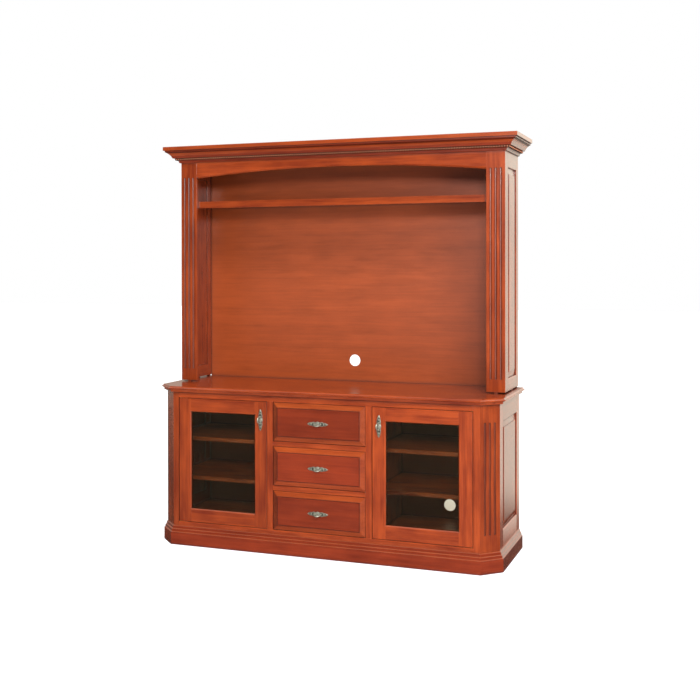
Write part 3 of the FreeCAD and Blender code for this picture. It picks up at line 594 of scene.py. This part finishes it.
# ---------------- painted light and shade, with some rubbing and glazing

STEP_TILTS = (0.20, 0.98)  # how far up or down the plinth's sloping steps look
LIP_TILT = 0.80  # the crown's lip looks further down than this
SWELL_TILT = 0.55  # and its swell further than this
UPRIGHT_TILT = 0.1  # an upright face looks less far up or down than this
FLUTE_TILT = 0.5  # and a strip of a flute than this
BEVEL_TILTS = (0.8, 0.97)  # how far forward the drawers' bevels look
FLAT_TILT = 0.99  # and how far their fields do, at least
# How strongly the marks paint light and shade: the plinth's steps, the crown's swell, fillet and
# lip, and the flutes
STEP_LIGHT_AND_SHADE = 0.8
SWELL_LIGHT = 0.50
FILLET_LIGHT = 0.65
LIP_SHADE = 0.8
FLUTE_SHADE = 0.30


def mark_layers(shape):
    """Where the faces of a board keep their marks, in the order of MARKS."""
    return [shape.faces.layers.float[mark] for mark in MARKS]


def shade_and_light_steps(shape):
    """Paint the plinth's upward sloping steps lighter and its downward ones darker: painted light
    and shade.
    """
    _, lit_and_rubbed, shade_and_glaze = mark_layers(shape)
    for face in shape.faces:
        if STEP_TILTS[0] < abs(face.normal.z) < STEP_TILTS[1]:
            face[lit_and_rubbed if face.normal.z > 0 else shade_and_glaze] = STEP_LIGHT_AND_SHADE


def shade_and_light_crown(shape):
    """Paint shade under the crown's lip, and paint its swell and its fillet lighter: painted shade
    and painted light.
    """
    _, lit_and_rubbed, shade_and_glaze = mark_layers(shape)
    top = max(vertex.co.z for vertex in shape.verts)
    for face in shape.faces:
        under = -face.normal.z
        height = face.calc_center_median().z
        upper = height > top - CROWN_UPPER
        if upper and under > LIP_TILT:
            face[shade_and_glaze] = LIP_SHADE
        elif upper and under > SWELL_TILT:
            face[lit_and_rubbed] = SWELL_LIGHT
        elif height > top - CROWN_FILLET and abs(under) < UPRIGHT_TILT:
            face[lit_and_rubbed] = FILLET_LIGHT


def shade_flutes(shape):
    """Paint shade into the flutes, whose strips are the narrow upright faces, and make them duller.
    """
    arris, _, shade_and_glaze = mark_layers(shape)
    for face in shape.faces:
        upright = abs(face.normal.z) < FLUTE_TILT
        if upright and not face[arris] and narrow_width(face) < FLUTE_STRIP:
            face[shade_and_glaze] = FLUTE_SHADE


def raise_field(shape):
    """Lift the edges to the face frame and the field well before it, with a steeper bevel.

    Bevels are painted lighter all round as wear from rubbing, and more where they look up and right
    and darker where they look left: painted light and shade. The dark line round the field is
    painted shade of its step, with some glazing.
    """
    sizes = bpy.context.scene.armoire_wood
    field = min(vertex.co.y for vertex in shape.verts)
    steeper = (sizes.proud + sizes.lip) / DRAWER_RISE
    for vertex in shape.verts:
        depth = vertex.co.y - field
        if depth < DRAWER_RISE + 2 * sizes.arris:
            vertex.co.y = field - sizes.proud + depth * steeper
    shape.normal_update()
    _, lit_and_rubbed, shade_and_glaze = mark_layers(shape)
    for face in shape.faces:
        right, forward, up = face.normal.x, -face.normal.y, face.normal.z
        if BEVEL_TILTS[0] < forward < BEVEL_TILTS[1]:
            face[lit_and_rubbed] = 0.5 + 0.25 * right + 0.75 * max(0.0, up)
            face[shade_and_glaze] = 1.4 * max(0.0, -right)
    front = max((face for face in shape.faces if -face.normal.y > FLAT_TILT),
                key=lambda face: face.calc_area())
    ring = bmesh.ops.inset_region(
        shape, faces=[front], thickness=sizes.line, use_even_offset=True, use_boundary=True)
    for face in ring["faces"]:
        face[shade_and_glaze] = 1.0


# ---------------- geometry node trees

def modifier_tree(name, inputs):
    """Geometry node tree with named inputs, its graph and its inputs by name."""
    tree = bpy.data.node_groups.new(name, "GeometryNodeTree")
    for label, kind in {"Geometry": "Geometry", **inputs}.items():
        tree.interface.new_socket(label, in_out="INPUT", socket_type=f"NodeSocket{kind}")
    tree.interface.new_socket("Geometry", in_out="OUTPUT", socket_type="NodeSocketGeometry")
    graph = Graph(tree)
    entry = tree.nodes.new("NodeGroupInput")
    return tree, graph, {socket.name: Wire(graph, socket) for socket in entry.outputs}


def worked_out(name, mesh, tree, values, dress):
    """Plain mesh piece of a node tree on a mesh, with the modifier taken off again."""
    piece = new_piece(name, mesh, dress)
    modifier = piece.modifiers.new(tree.name, "NODES")
    modifier.node_group = tree
    for item in tree.interface.items_tree:
        if item.in_out == "INPUT" and item.name in values:
            modifier[item.identifier] = values[item.name]
    seen = piece.evaluated_get(bpy.context.evaluated_depsgraph_get())
    result = bpy.data.meshes.new_from_object(seen)
    piece.modifiers.clear()
    piece.data = result
    result.name = name
    return piece


BEAD_SEGMENTS, BEAD_RINGS = 10, 6
HEAD_SIDES = 16
HEAD_TOP = 0.62  # radius of a screw head's top over its radius
SLOT_WIDTH, SLOT_LENGTH = 0.22, 1.1  # of its cross recess, the same way


def bead_tree():
    """Beads at an even pitch along a line, on a strip that follows it on its inner side."""
    tree, graph, wires = modifier_tree("Bead strip", {
        "Bead Radius": "Float", "Half Height": "Float", "Pitch": "Float", "Backing": "Float",
        "Bead Finish": "Material", "Strip Finish": "Material"})
    line = graph.node("GeometryNodeMeshToCurve", {"Mesh": wires["Geometry"]})
    line = graph.node("GeometryNodeSetCurveNormal", {"Curve": line}, mode="Z_UP")
    points = graph.node("GeometryNodeResampleCurve", {"Curve": line, "Length": wires["Pitch"]},
                        mode="LENGTH")
    bead = graph.node("GeometryNodeMeshUVSphere", {
        "Segments": BEAD_SEGMENTS, "Rings": BEAD_RINGS, "Radius": wires["Bead Radius"]})
    beads = graph.node("GeometryNodeInstanceOnPoints", {"Points": points, "Instance": bead})
    profile = graph.node("GeometryNodeCurvePrimitiveQuadrilateral", {
        "Width": wires["Backing"], "Height": 2 * wires["Half Height"]})
    inwards = graph.node("ShaderNodeCombineXYZ", {
        "X": 0.5 * wires["Backing"] - wires["Half Height"]})
    profile = graph.node("GeometryNodeTransform", {"Geometry": profile, "Translation": inwards})
    strip = graph.node("GeometryNodeCurveToMesh", {
        "Curve": line, "Profile Curve": profile, "Fill Caps": True})
    beads = graph.node("GeometryNodeRealizeInstances", {"Geometry": beads})
    both = graph.node("GeometryNodeJoinGeometry")
    for part, dress in ((beads, "Bead Finish"), (strip, "Strip Finish")):
        dressed = graph.node("GeometryNodeSetMaterial", {
            "Geometry": part, "Material": wires[dress]})
        tree.links.new(dressed.socket, both.socket.node.inputs[0])
    graph.node("NodeGroupOutput", {"Geometry": both})
    return tree


def screw_tree():
    """Round screw heads with a cross recess, standing on points and turned to a direction."""
    tree, graph, wires = modifier_tree("Screw heads", {
        "Head Radius": "Float", "Head Height": "Float", "Direction": "Vector",
        "Finish": "Material"})
    radius, height = wires["Head Radius"], wires["Head Height"]
    head = graph.node("GeometryNodeMeshCone", {
        "Vertices": HEAD_SIDES, "Radius Top": radius * HEAD_TOP, "Radius Bottom": radius,
        "Depth": height})
    lift = graph.node("ShaderNodeCombineXYZ", {"Z": height})
    for across, along in ((SLOT_WIDTH, SLOT_LENGTH), (SLOT_LENGTH, SLOT_WIDTH)):
        size = graph.node("ShaderNodeCombineXYZ", {
            "X": radius * across, "Y": radius * along, "Z": height})
        slot = graph.node("GeometryNodeMeshCube", {"Size": size})
        slot = graph.node("GeometryNodeTransform", {"Geometry": slot, "Translation": lift})
        head = graph.node("GeometryNodeMeshBoolean", {"Mesh 1": head, "Mesh 2": slot},
                          operation="DIFFERENCE")
    turn = graph.node("FunctionNodeAlignRotationToVector", {"Vector": wires["Direction"]}, axis="Z")
    heads = graph.node("GeometryNodeInstanceOnPoints", {
        "Points": wires["Geometry"], "Instance": head, "Rotation": turn})
    real = graph.node("GeometryNodeRealizeInstances", {"Geometry": heads})
    dressed = graph.node("GeometryNodeSetMaterial", {"Geometry": real, "Material": wires["Finish"]})
    graph.node("NodeGroupOutput", {"Geometry": dressed})
    return tree


# ---------------- pulls

LEAF_STEPS = 72
LEAF_ROWS = 14
BAR_STEPS = 40
BAR_SIDES = 14
TIP = 0.999  # the plate's rows end just before its points
BACK_RELIEF, COLLAR_RELIEF, BAIL_RELIEF = 0.4, 0.65, 0.8
SEAT = 0.8  # how far up the dome the bail is seated
FOOT = 0.001  # how deep the bail's legs reach into the plate
COLLAR = ((FOOT, 2.6), (-0.0012, 2.6), (-0.0022, 1.9), (-0.0030, 2.1), (-0.0040, 2.1),
          (-0.0050, 1.3), (-0.0056, 1.0))  # places along a leg, and radii over the bar's


def swelling(place, middle, width):
    """A smooth hump that is 1 in its middle."""
    return math.exp(-((place - middle) / width) ** 2)


def leaf_half_width(along, half_width):
    """Half width at a place from -1 to 1 along the plate: a boss, two lobes and pointed tips."""
    away = abs(along)
    body = (0.70 - 0.30 * away ** 2 + 0.30 * swelling(away, 0.0, 0.14)
            + 0.20 * swelling(away, 0.42, 0.15) + 0.14 * swelling(away, 0.76, 0.09))
    return half_width * body * (1 - away ** 6) ** 0.6


def leaf_relief(along, across):
    """Height of the carving, from 0 to 1: leaves with pierced eyes between raised rims."""
    away, aside = abs(along), abs(across)
    veins = 0.5 + 0.5 * math.cos(2 * math.pi * (7.5 * away - 0.8 * aside))
    leaf = (0.62 + 0.25 * veins + 0.35 * swelling(aside, 1.0, 0.20)
            - 0.45 * swelling(aside, 0.68, 0.12))
    eyes = (swelling(away, 0.46, 0.07) * swelling(across, 0.0, 0.40)
            + 0.9 * swelling(away, 0.74, 0.045) * swelling(across, 0.0, 0.55)
            + 0.8 * swelling(away, 0.24, 0.035) * swelling(aside, 0.55, 0.30))
    return max(0.0, min(1.0, leaf + 0.3 * swelling(away, 0.0, 0.12) - eyes))


def corner(mesh, layer, place, relief):
    """A vertex that knows its height in the carving."""
    vertex = mesh.verts.new(place)
    vertex[layer] = relief
    return vertex


def bridge(mesh, low, high):
    """Faces between two rows of as many corners."""
    for corners in zip(low, low[1:], high[1:], high):
        mesh.faces.new(corners)


def leaf_plate(mesh, layer, half_length, pulls):
    """Closed plate with its back in the plane y = 0 and its carved face towards -y."""
    rows = []
    for step in range(LEAF_STEPS + 1):
        along = TIP * (2 * step / LEAF_STEPS - 1)
        half_width = leaf_half_width(along, pulls.leaf_width / 2)
        row = []
        for rank in range(LEAF_ROWS + 1):
            across = 2 * rank / LEAF_ROWS - 1
            relief = leaf_relief(along, across)
            crown = (1 - across ** 2) * (1 - along ** 2) ** 0.5
            rise = pulls.rim + pulls.dome * crown * (0.30 + 0.70 * relief)
            place = (along * half_length, -rise, across * half_width)
            row.append(corner(mesh, layer, place, relief))
        rows.append(row)
    backs = [[corner(mesh, layer, (vertex.co.x, 0.0, vertex.co.z), BACK_RELIEF)
              for vertex in row] for row in rows]
    for low, high in zip(rows, rows[1:]):
        bridge(mesh, low, high)
    for low, high in zip(backs, backs[1:]):
        bridge(mesh, high, low)
    for side in (0, -1):
        bridge(mesh, [row[side] for row in rows], [back[side] for back in backs])
    for end in (0, -1):
        bridge(mesh, rows[end], backs[end])


def swept_bar(mesh, layer, places, radii, relief):
    """Round bar through some places, with a radius at each and closed ends."""
    rings = []
    for number, (place, radius) in enumerate(zip(places, radii)):
        before, after = places[max(number - 1, 0)], places[min(number + 1, len(places) - 1)]
        way = (after - before).normalized()
        side = way.cross(Vector((0, 0, 1))).normalized()
        up = side.cross(way)
        turns = [2 * math.pi * rank / BAR_SIDES for rank in range(BAR_SIDES)]
        rings.append([corner(mesh, layer, place + side * (radius * math.cos(turn))
                             + up * (radius * math.sin(turn)), relief) for turn in turns])
    for low, high in zip(rings, rings[1:]):
        bridge(mesh, low + low[:1], high + high[:1])
    mesh.faces.new(rings[0][::-1])
    mesh.faces.new(rings[-1])


def bail_bar(mesh, layer, reach, pulls):
    """Bail of the pull, thicker in its middle, with a turned collar at each leg."""
    seat = pulls.rim + pulls.dome * SEAT
    leg = (reach - seat - pulls.bar - pulls.swell) / math.cos(pulls.droop) - pulls.half_span
    start = len(mesh.verts)
    places, radii = [Vector((pulls.half_span, FOOT, 0))], [pulls.bar]
    for step in range(BAR_STEPS + 1):
        turn = math.pi * step / BAR_STEPS
        places.append(Vector((
            pulls.half_span * math.cos(turn), -leg - pulls.half_span * math.sin(turn), 0)))
        radii.append(pulls.bar + pulls.swell * math.sin(turn) ** 2)
    places.append(Vector((-pulls.half_span, FOOT, 0)))
    swept_bar(mesh, layer, places, radii + [pulls.bar], BAIL_RELIEF)
    for x in (-pulls.half_span, pulls.half_span):
        swept_bar(mesh, layer, [Vector((x, depth, 0)) for depth, _ in COLLAR],
                  [pulls.bar * scale for _, scale in COLLAR], COLLAR_RELIEF)
    mesh.verts.ensure_lookup_table()
    turn = Matrix.Rotation(pulls.droop, 4, "X")
    lift = Matrix.Translation((0, -seat, 0))
    for vertex in mesh.verts[start:]:
        vertex.co = lift @ turn @ vertex.co
        vertex.co.y = min(vertex.co.y, 0.0)


def pull_mesh(name, half_length, reach):
    """The whole pull in its own place: the plate's back in y = 0 and the bail towards -y."""
    pulls = bpy.context.scene.armoire_pulls
    shape = bmesh.new()
    layer = shape.verts.layers.float.new("relief")
    leaf_plate(shape, layer, half_length, pulls)
    bail_bar(shape, layer, reach, pulls)
    bmesh.ops.remove_doubles(shape, verts=shape.verts[:], dist=1e-6)
    bmesh.ops.recalc_face_normals(shape, faces=shape.faces[:])
    mesh = bpy.data.meshes.new(name)
    shape.to_mesh(mesh)
    shape.free()
    smooth_curves(mesh, ROUND_ANGLE)
    return mesh


# ---------------- operators

class Making:
    """What every operator of the armoire shares."""

    bl_options = {"REGISTER", "UNDO"}


class ARMOIRE_OT_mouldings(Making, bpy.types.Operator):
    """Make the plinth, the console top and the crown"""

    bl_idname = "armoire.mouldings"
    bl_label = "Mouldings"

    def execute(self, context):
        boards("plinth", ["plinth_front", "plinth_returns"], "heartwood", shaping=shade_and_light_steps)
        boards("console_top_board", ["console_top"])
        boards("crown_moulding", ["crown_front", "crown_returns"], "heartwood", shaping=shade_and_light_crown)
        return {"FINISHED"}


class ARMOIRE_OT_face_frame(Making, bpy.types.Operator):
    """Make the stiles, mullions and rails round the doors and drawers"""

    bl_idname = "armoire.face_frame"
    bl_label = "Face frame"

    def execute(self, context):
        boards("face_frame", [
            "face_stiles", "face_mullions", "face_top_rail", "face_bottom_rail", "drawer_rails"])
        return {"FINISHED"}


class ARMOIRE_OT_fluted_boards(Making, bpy.types.Operator):
    """Make the fluted corner posts and pilasters"""

    bl_idname = "armoire.fluted_boards"
    bl_label = "Fluted boards"

    def execute(self, context):
        for hand in HANDS:
            for name, node in (("corner_post", "fluted_post"), ("pilaster", "hutch_pilaster")):
                boards(f"{name}_{hand}", [f"{node}_{hand}"], smooth=FLUTE_ANGLE,
                       shaping=shade_flutes)
        return {"FINISHED"}


class ARMOIRE_OT_side_walls(Making, bpy.types.Operator):
    """Make the framed and panelled sides"""

    bl_idname = "armoire.side_walls"
    bl_label = "Side walls"

    def execute(self, context):
        for level in ("console", "hutch"):
            frames = [f"{level}_side_frame_{hand}" for hand in HANDS]
            boards(f"{level}_side_frames", frames)
            boards(f"{level}_raised_panels", [f"{level}_side_panels"])
        return {"FINISHED"}


class ARMOIRE_OT_hutch_boards(Making, bpy.types.Operator):
    """Make the arched rail, the shelf, the top and the feet of the hutch"""

    bl_idname = "armoire.hutch_boards"
    bl_label = "Hutch boards"

    def execute(self, context):
        boards("arched_rail", ["hutch_arched_rail"])
        boards("hutch_shelf_boards", ["hutch_shelf", "hutch_shelf_nosing", "hutch_top_board"])
        boards("hutch_foot_blocks", ["hutch_feet"])
        return {"FINISHED"}


class ARMOIRE_OT_carcase(Making, bpy.types.Operator):
    """Make the boards inside the console and the two back panels"""

    bl_idname = "armoire.carcase"
    bl_label = "Carcase"

    def execute(self, context):
        boards("carcase_boards", [
            "console_deck", "partition_left", "partition_right", "plinth_rear_rail"], "inner")
        boards("door_bay_shelves", ["shelves_left", "shelves_right", "shelf_cleats"], "inner")
        boards("back_panels", ["console_back", "hutch_back"], "ply")
        return {"FINISHED"}


class ARMOIRE_OT_doors(Making, bpy.types.Operator):
    """Make the door frames with their seeded glass and its stops"""

    bl_idname = "armoire.doors"
    bl_label = "Doors"

    def execute(self, context):
        for hand in HANDS:
            boards(f"door_{hand}_members", [f"door_{hand}_frame"])
            boards(f"door_{hand}_stops", [f"door_{hand}_glass_stops"])
            paint(f"door_{hand}_glass", "glass")
        return {"FINISHED"}


class ARMOIRE_OT_drawers(Making, bpy.types.Operator):
    """Make the raised drawer fronts and the dovetailed boxes"""

    bl_idname = "armoire.drawers"
    bl_label = "Drawers"

    def execute(self, context):
        for level in LEVELS:
            boards(f"drawer_{level}_raised_front", [f"drawer_{level}_front"], "heartwood",
                   shaping=raise_field)
            boards(f"drawer_{level}_dovetailed_box", [f"drawer_{level}_box"], "maple")
        return {"FINISHED"}


class ARMOIRE_OT_bead_strip(Making, bpy.types.Operator):
    """Make the row of beads round the crown"""

    bl_idname = "armoire.bead_strip"
    bl_label = "Bead strip"

    def execute(self, context):
        beads = context.scene.armoire_beads
        low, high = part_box("crown_bead_strip")
        radius = (high.z - low.z) / 2
        side, front, middle = high.x - radius, low.y + radius, (low.z + high.z) / 2
        corners = [(-side, high.y - radius, middle), (-side, front, middle),
                   (side, front, middle), (side, high.y - radius, middle)]
        line = bpy.data.meshes.new("bead line")
        line.from_pydata(corners, [(0, 1), (1, 2), (2, 3)], [])
        piece = worked_out("crown_beads", line, bead_tree(), {
            "Bead Radius": radius * beads.fullness, "Half Height": radius,
            "Pitch": beads.pitch, "Backing": beads.backing,
            "Bead Finish": finish("beads"), "Strip Finish": finish("recess")}, "beads")
        smooth_curves(piece.data, ROUND_ANGLE)
        settle(piece, ["crown_bead_strip"])
        return {"FINISHED"}


class ARMOIRE_OT_pulls(Making, bpy.types.Operator):
    """Make the five leaf-shaped pulls with their bails"""

    bl_idname = "armoire.pulls"
    bl_label = "Pulls"

    def execute(self, context):
        pulls = context.scene.armoire_pulls
        for level in LEVELS:
            node = f"drawer_{level}_pull"
            low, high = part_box(node)
            back = high.y - context.scene.armoire_wood.proud
            reach = back - low.y
            place = Matrix.Translation(((low.x + high.x) / 2, back, high.z - pulls.leaf_width / 2))
            self.make(node, (high.x - low.x) / 2, reach, place)
        upright = Matrix.Rotation(math.radians(90), 4, "Y")
        for hand in HANDS:  # these castings are the drawers' ones, and reach as far
            node = f"door_{hand}_pull"
            low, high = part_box(node)
            place = Matrix.Translation((
                high.x - pulls.leaf_width / 2, high.y, (low.z + high.z) / 2))
            self.make(node, (high.z - low.z) / 2, reach, place @ upright)
        return {"FINISHED"}

    def make(self, node, half_length, reach, place):
        mesh = pull_mesh(f"{node}_casting", half_length, reach)
        mesh.transform(place)
        settle(new_piece(f"{node}_casting", mesh, "pewter"), [node])


class ARMOIRE_OT_hardware(Making, bpy.types.Operator):
    """Finish the drawer slides, the hinge plates and the catches"""

    bl_idname = "armoire.hardware"
    bl_label = "Hardware"

    def execute(self, context):
        paint("cabinet_slides", "steel")
        paint("hinge_plates_fixed", "brass")
        paint("door_catches", "plastic")
        for level in LEVELS:
            paint(f"drawer_{level}_slides", "steel")
        for hand in HANDS:
            paint(f"door_{hand}_hinge_plates", "brass")
        return {"FINISHED"}


def spaced(low, high, pitch):
    """Even places from low to high, about a pitch apart."""
    steps = max(2, round((high - low) / pitch))
    return [low + (high - low) * number / steps for number in range(steps + 1)]


class ARMOIRE_OT_back_screws(Making, bpy.types.Operator):
    """Drive the screws that hold the back panels"""

    bl_idname = "armoire.back_screws"
    bl_label = "Back screws"

    def execute(self, context):
        screws = context.scene.armoire_screws
        places = []
        for node in ("console_back", "hutch_back"):
            low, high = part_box(node)
            across = spaced(low.x + screws.margin, high.x - screws.margin, screws.pitch)
            up = spaced(low.z + screws.margin, high.z - screws.margin, screws.pitch)
            places += [(x, high.y, z) for x in across for z in (up[0], up[-1])]
            places += [(x, high.y, z) for z in up[1:-1] for x in (across[0], across[-1])]
        points = bpy.data.meshes.new("screw places")
        points.from_pydata(places, [], [])
        piece = worked_out("back_screws", points, screw_tree(), {
            "Head Radius": screws.radius, "Head Height": screws.height,
            "Direction": (0.0, 1.0, 0.0), "Finish": finish("steel")}, "steel")
        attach(piece, BODY_OF["console_back"])
        return {"FINISHED"}


# ---------------- stage

CAMERA_PLACE = (2.00583, -5.37029, 1.48779)
YAW = math.radians(20.93)
PITCH = math.radians(0.34)
ROLL = math.radians(-0.10)
SENSOR = 36.0
FOCAL_LENGTH = 55.54
SHIFT = (0.0316, -0.1115)

# Where the room brightens or darkens, as parts of a direction of length 1
WALLS_MEET = (-0.15, 0.05)  # from the left wall to the right one
RIGHT_END = (0.35, 0.55)
RIGHT_FOOT = (-0.228, -0.202)
RIGHT_HEAD = (0.04, 0.10)
LEFT_FOOT = (-0.19, -0.06)
BEHIND = (-0.10, 0.30)
OVERHEAD = (0.60, 0.85)
HEAD_GAIN = 0.35  # how much brighter the right wall is at its head
LEFT_SHARE = 0.40  # how bright the left wall is beside the right one
ROOM_TINT = (1.0, 0.93, 0.78, 1.0)


def light_room(stage):
    """White backdrop with pale walls behind and at the right, and a darker room before it."""
    world = bpy.data.worlds.new("studio")
    bpy.context.scene.world = world
    world.use_nodes = True
    world.node_tree.nodes.clear()
    graph = Graph(world.node_tree)
    way = graph.node("ShaderNodeTexCoord")
    x, y, z = (graph.node("ShaderNodeSeparateXYZ", {"Vector": way}, output=axis)
               for axis in range(3))
    corner_passed = graph.ramp(x, *WALLS_MEET)
    right = corner_passed * (1 - graph.ramp(x, *RIGHT_END)) * graph.ramp(z, *RIGHT_FOOT)
    right = right * (1 + graph.ramp(z, *RIGHT_HEAD) * HEAD_GAIN)
    left = (1 - corner_passed) * graph.ramp(z, *LEFT_FOOT) * LEFT_SHARE
    walls = graph.ramp(y, *BEHIND) * (right + left)
    brightness = stage.gloom + walls * stage.wall + graph.ramp(z, *OVERHEAD) * stage.ceiling
    seen = graph.node("ShaderNodeLightPath", output="Is Camera Ray")
    room = graph.node("ShaderNodeBackground", {"Color": ROOM_TINT, "Strength": brightness})
    paper = graph.node("ShaderNodeBackground", {"Color": CLEAR_WHITE})
    mix = graph.node("ShaderNodeMixShader", {0: seen, 1: room, 2: paper})
    graph.node("ShaderNodeOutputWorld", {"Surface": mix})


def lamp(name, kind, strength, place, target):
    light = bpy.data.lights.new(name, kind)
    light.energy = strength
    holder = bpy.data.objects.new(name, light)
    holder.location = place
    aim = Vector(target) - Vector(place)
    holder.rotation_euler = aim.to_track_quat("-Z", "Y").to_euler()
    holder.visible_camera = False
    bpy.context.scene.collection.objects.link(holder)
    return light


def panel_lamp(name, strength, place, target, size):
    """Flat lamp of some width and height."""
    light = lamp(name, "AREA", strength, place, target)
    light.shape = "RECTANGLE"
    light.size, light.size_y = size


def set_camera(scene):
    lens = bpy.data.cameras.new("camera")
    lens.sensor_width = SENSOR
    lens.lens = FOCAL_LENGTH
    lens.shift_x, lens.shift_y = SHIFT
    camera = bpy.data.objects.new("camera", lens)
    camera.matrix_world = (Matrix.Translation(CAMERA_PLACE) @ Matrix.Rotation(YAW, 4, "Z")
                           @ Matrix.Rotation(math.radians(90) - PITCH, 4, "X")
                           @ Matrix.Rotation(ROLL, 4, "Z"))
    scene.collection.objects.link(camera)
    scene.camera = camera


class ARMOIRE_OT_stage(Making, bpy.types.Operator):
    """Lay the floor, hang the lamps and set up the camera"""

    bl_idname = "armoire.stage"
    bl_label = "Stage"

    def execute(self, context):
        stage = context.scene.armoire_stage
        half = stage.floor_size / 2
        mesh = bpy.data.meshes.new("studio_floor")
        mesh.from_pydata([(-half, -half, 0), (half, -half, 0), (half, half, 0),
                          (-half, half, 0)], [], [(0, 1, 2, 3)])
        floor = new_piece("studio_floor", mesh, "floor")
        floor.visible_glossy = False
        light_room(stage)
        front = lamp("front_light", "SUN", stage.front, place=(1.7, -2.9, 3.1), target=(0, 0, 0))
        front.angle = math.radians(20)
        panel_lamp("key_light", stage.key, place=(1.8, -5.0, 2.8), target=(0.2, 0, 1.1),
                   size=(1.8, 0.8))
        panel_lamp("strip_light", stage.strip, place=(6.5, -5.5, 1.6), target=(0, 0, 1.3),
                   size=(2.2, 3.2))
        set_camera(context.scene)
        context.scene.view_settings.view_transform = "Standard"
        return {"FINISHED"}


# ---------------- panel and registration

GROUPS = {"armoire_wood": ArmoireWood, "armoire_beads": ArmoireBeads,
          "armoire_pulls": ArmoirePulls, "armoire_screws": ArmoireScrews,
          "armoire_glass": ArmoireGlass, "armoire_stage": ArmoireStage}
OPERATORS = (
    ARMOIRE_OT_mouldings, ARMOIRE_OT_face_frame, ARMOIRE_OT_fluted_boards, ARMOIRE_OT_side_walls,
    ARMOIRE_OT_hutch_boards, ARMOIRE_OT_carcase, ARMOIRE_OT_doors, ARMOIRE_OT_drawers,
    ARMOIRE_OT_bead_strip, ARMOIRE_OT_pulls, ARMOIRE_OT_hardware, ARMOIRE_OT_back_screws,
    ARMOIRE_OT_stage)


class ARMOIRE_PT_panel(bpy.types.Panel):
    """Sidebar panel that lists the pieces of the armoire"""

    bl_idname = "ARMOIRE_PT_panel"
    bl_label = "Armoire"
    bl_space_type = "VIEW_3D"
    bl_region_type = "UI"
    bl_category = "Armoire"

    def draw(self, context):
        for group in GROUPS:
            box = self.layout.box()
            settings = getattr(context.scene, group)
            for name in settings.__annotations__:
                box.prop(settings, name)
        for operator in OPERATORS:
            self.layout.operator(operator.bl_idname)


def register():
    for name, group in GROUPS.items():
        bpy.utils.register_class(group)
        setattr(bpy.types.Scene, name, bpy.props.PointerProperty(type=group))
    for made in (*OPERATORS, ARMOIRE_PT_panel):
        bpy.utils.register_class(made)


def unregister():
    for made in (ARMOIRE_PT_panel, *reversed(OPERATORS)):
        bpy.utils.unregister_class(made)
    for name, group in reversed(GROUPS.items()):
        delattr(bpy.types.Scene, name)
        bpy.utils.unregister_class(group)


def main():
    """Register the armoire's classes and make every piece in turn."""
    register()
    for operator in OPERATORS:
        space, name = operator.bl_idname.split(".")
        getattr(getattr(bpy.ops, space), name)()


if __name__ == "__main__":
    main()
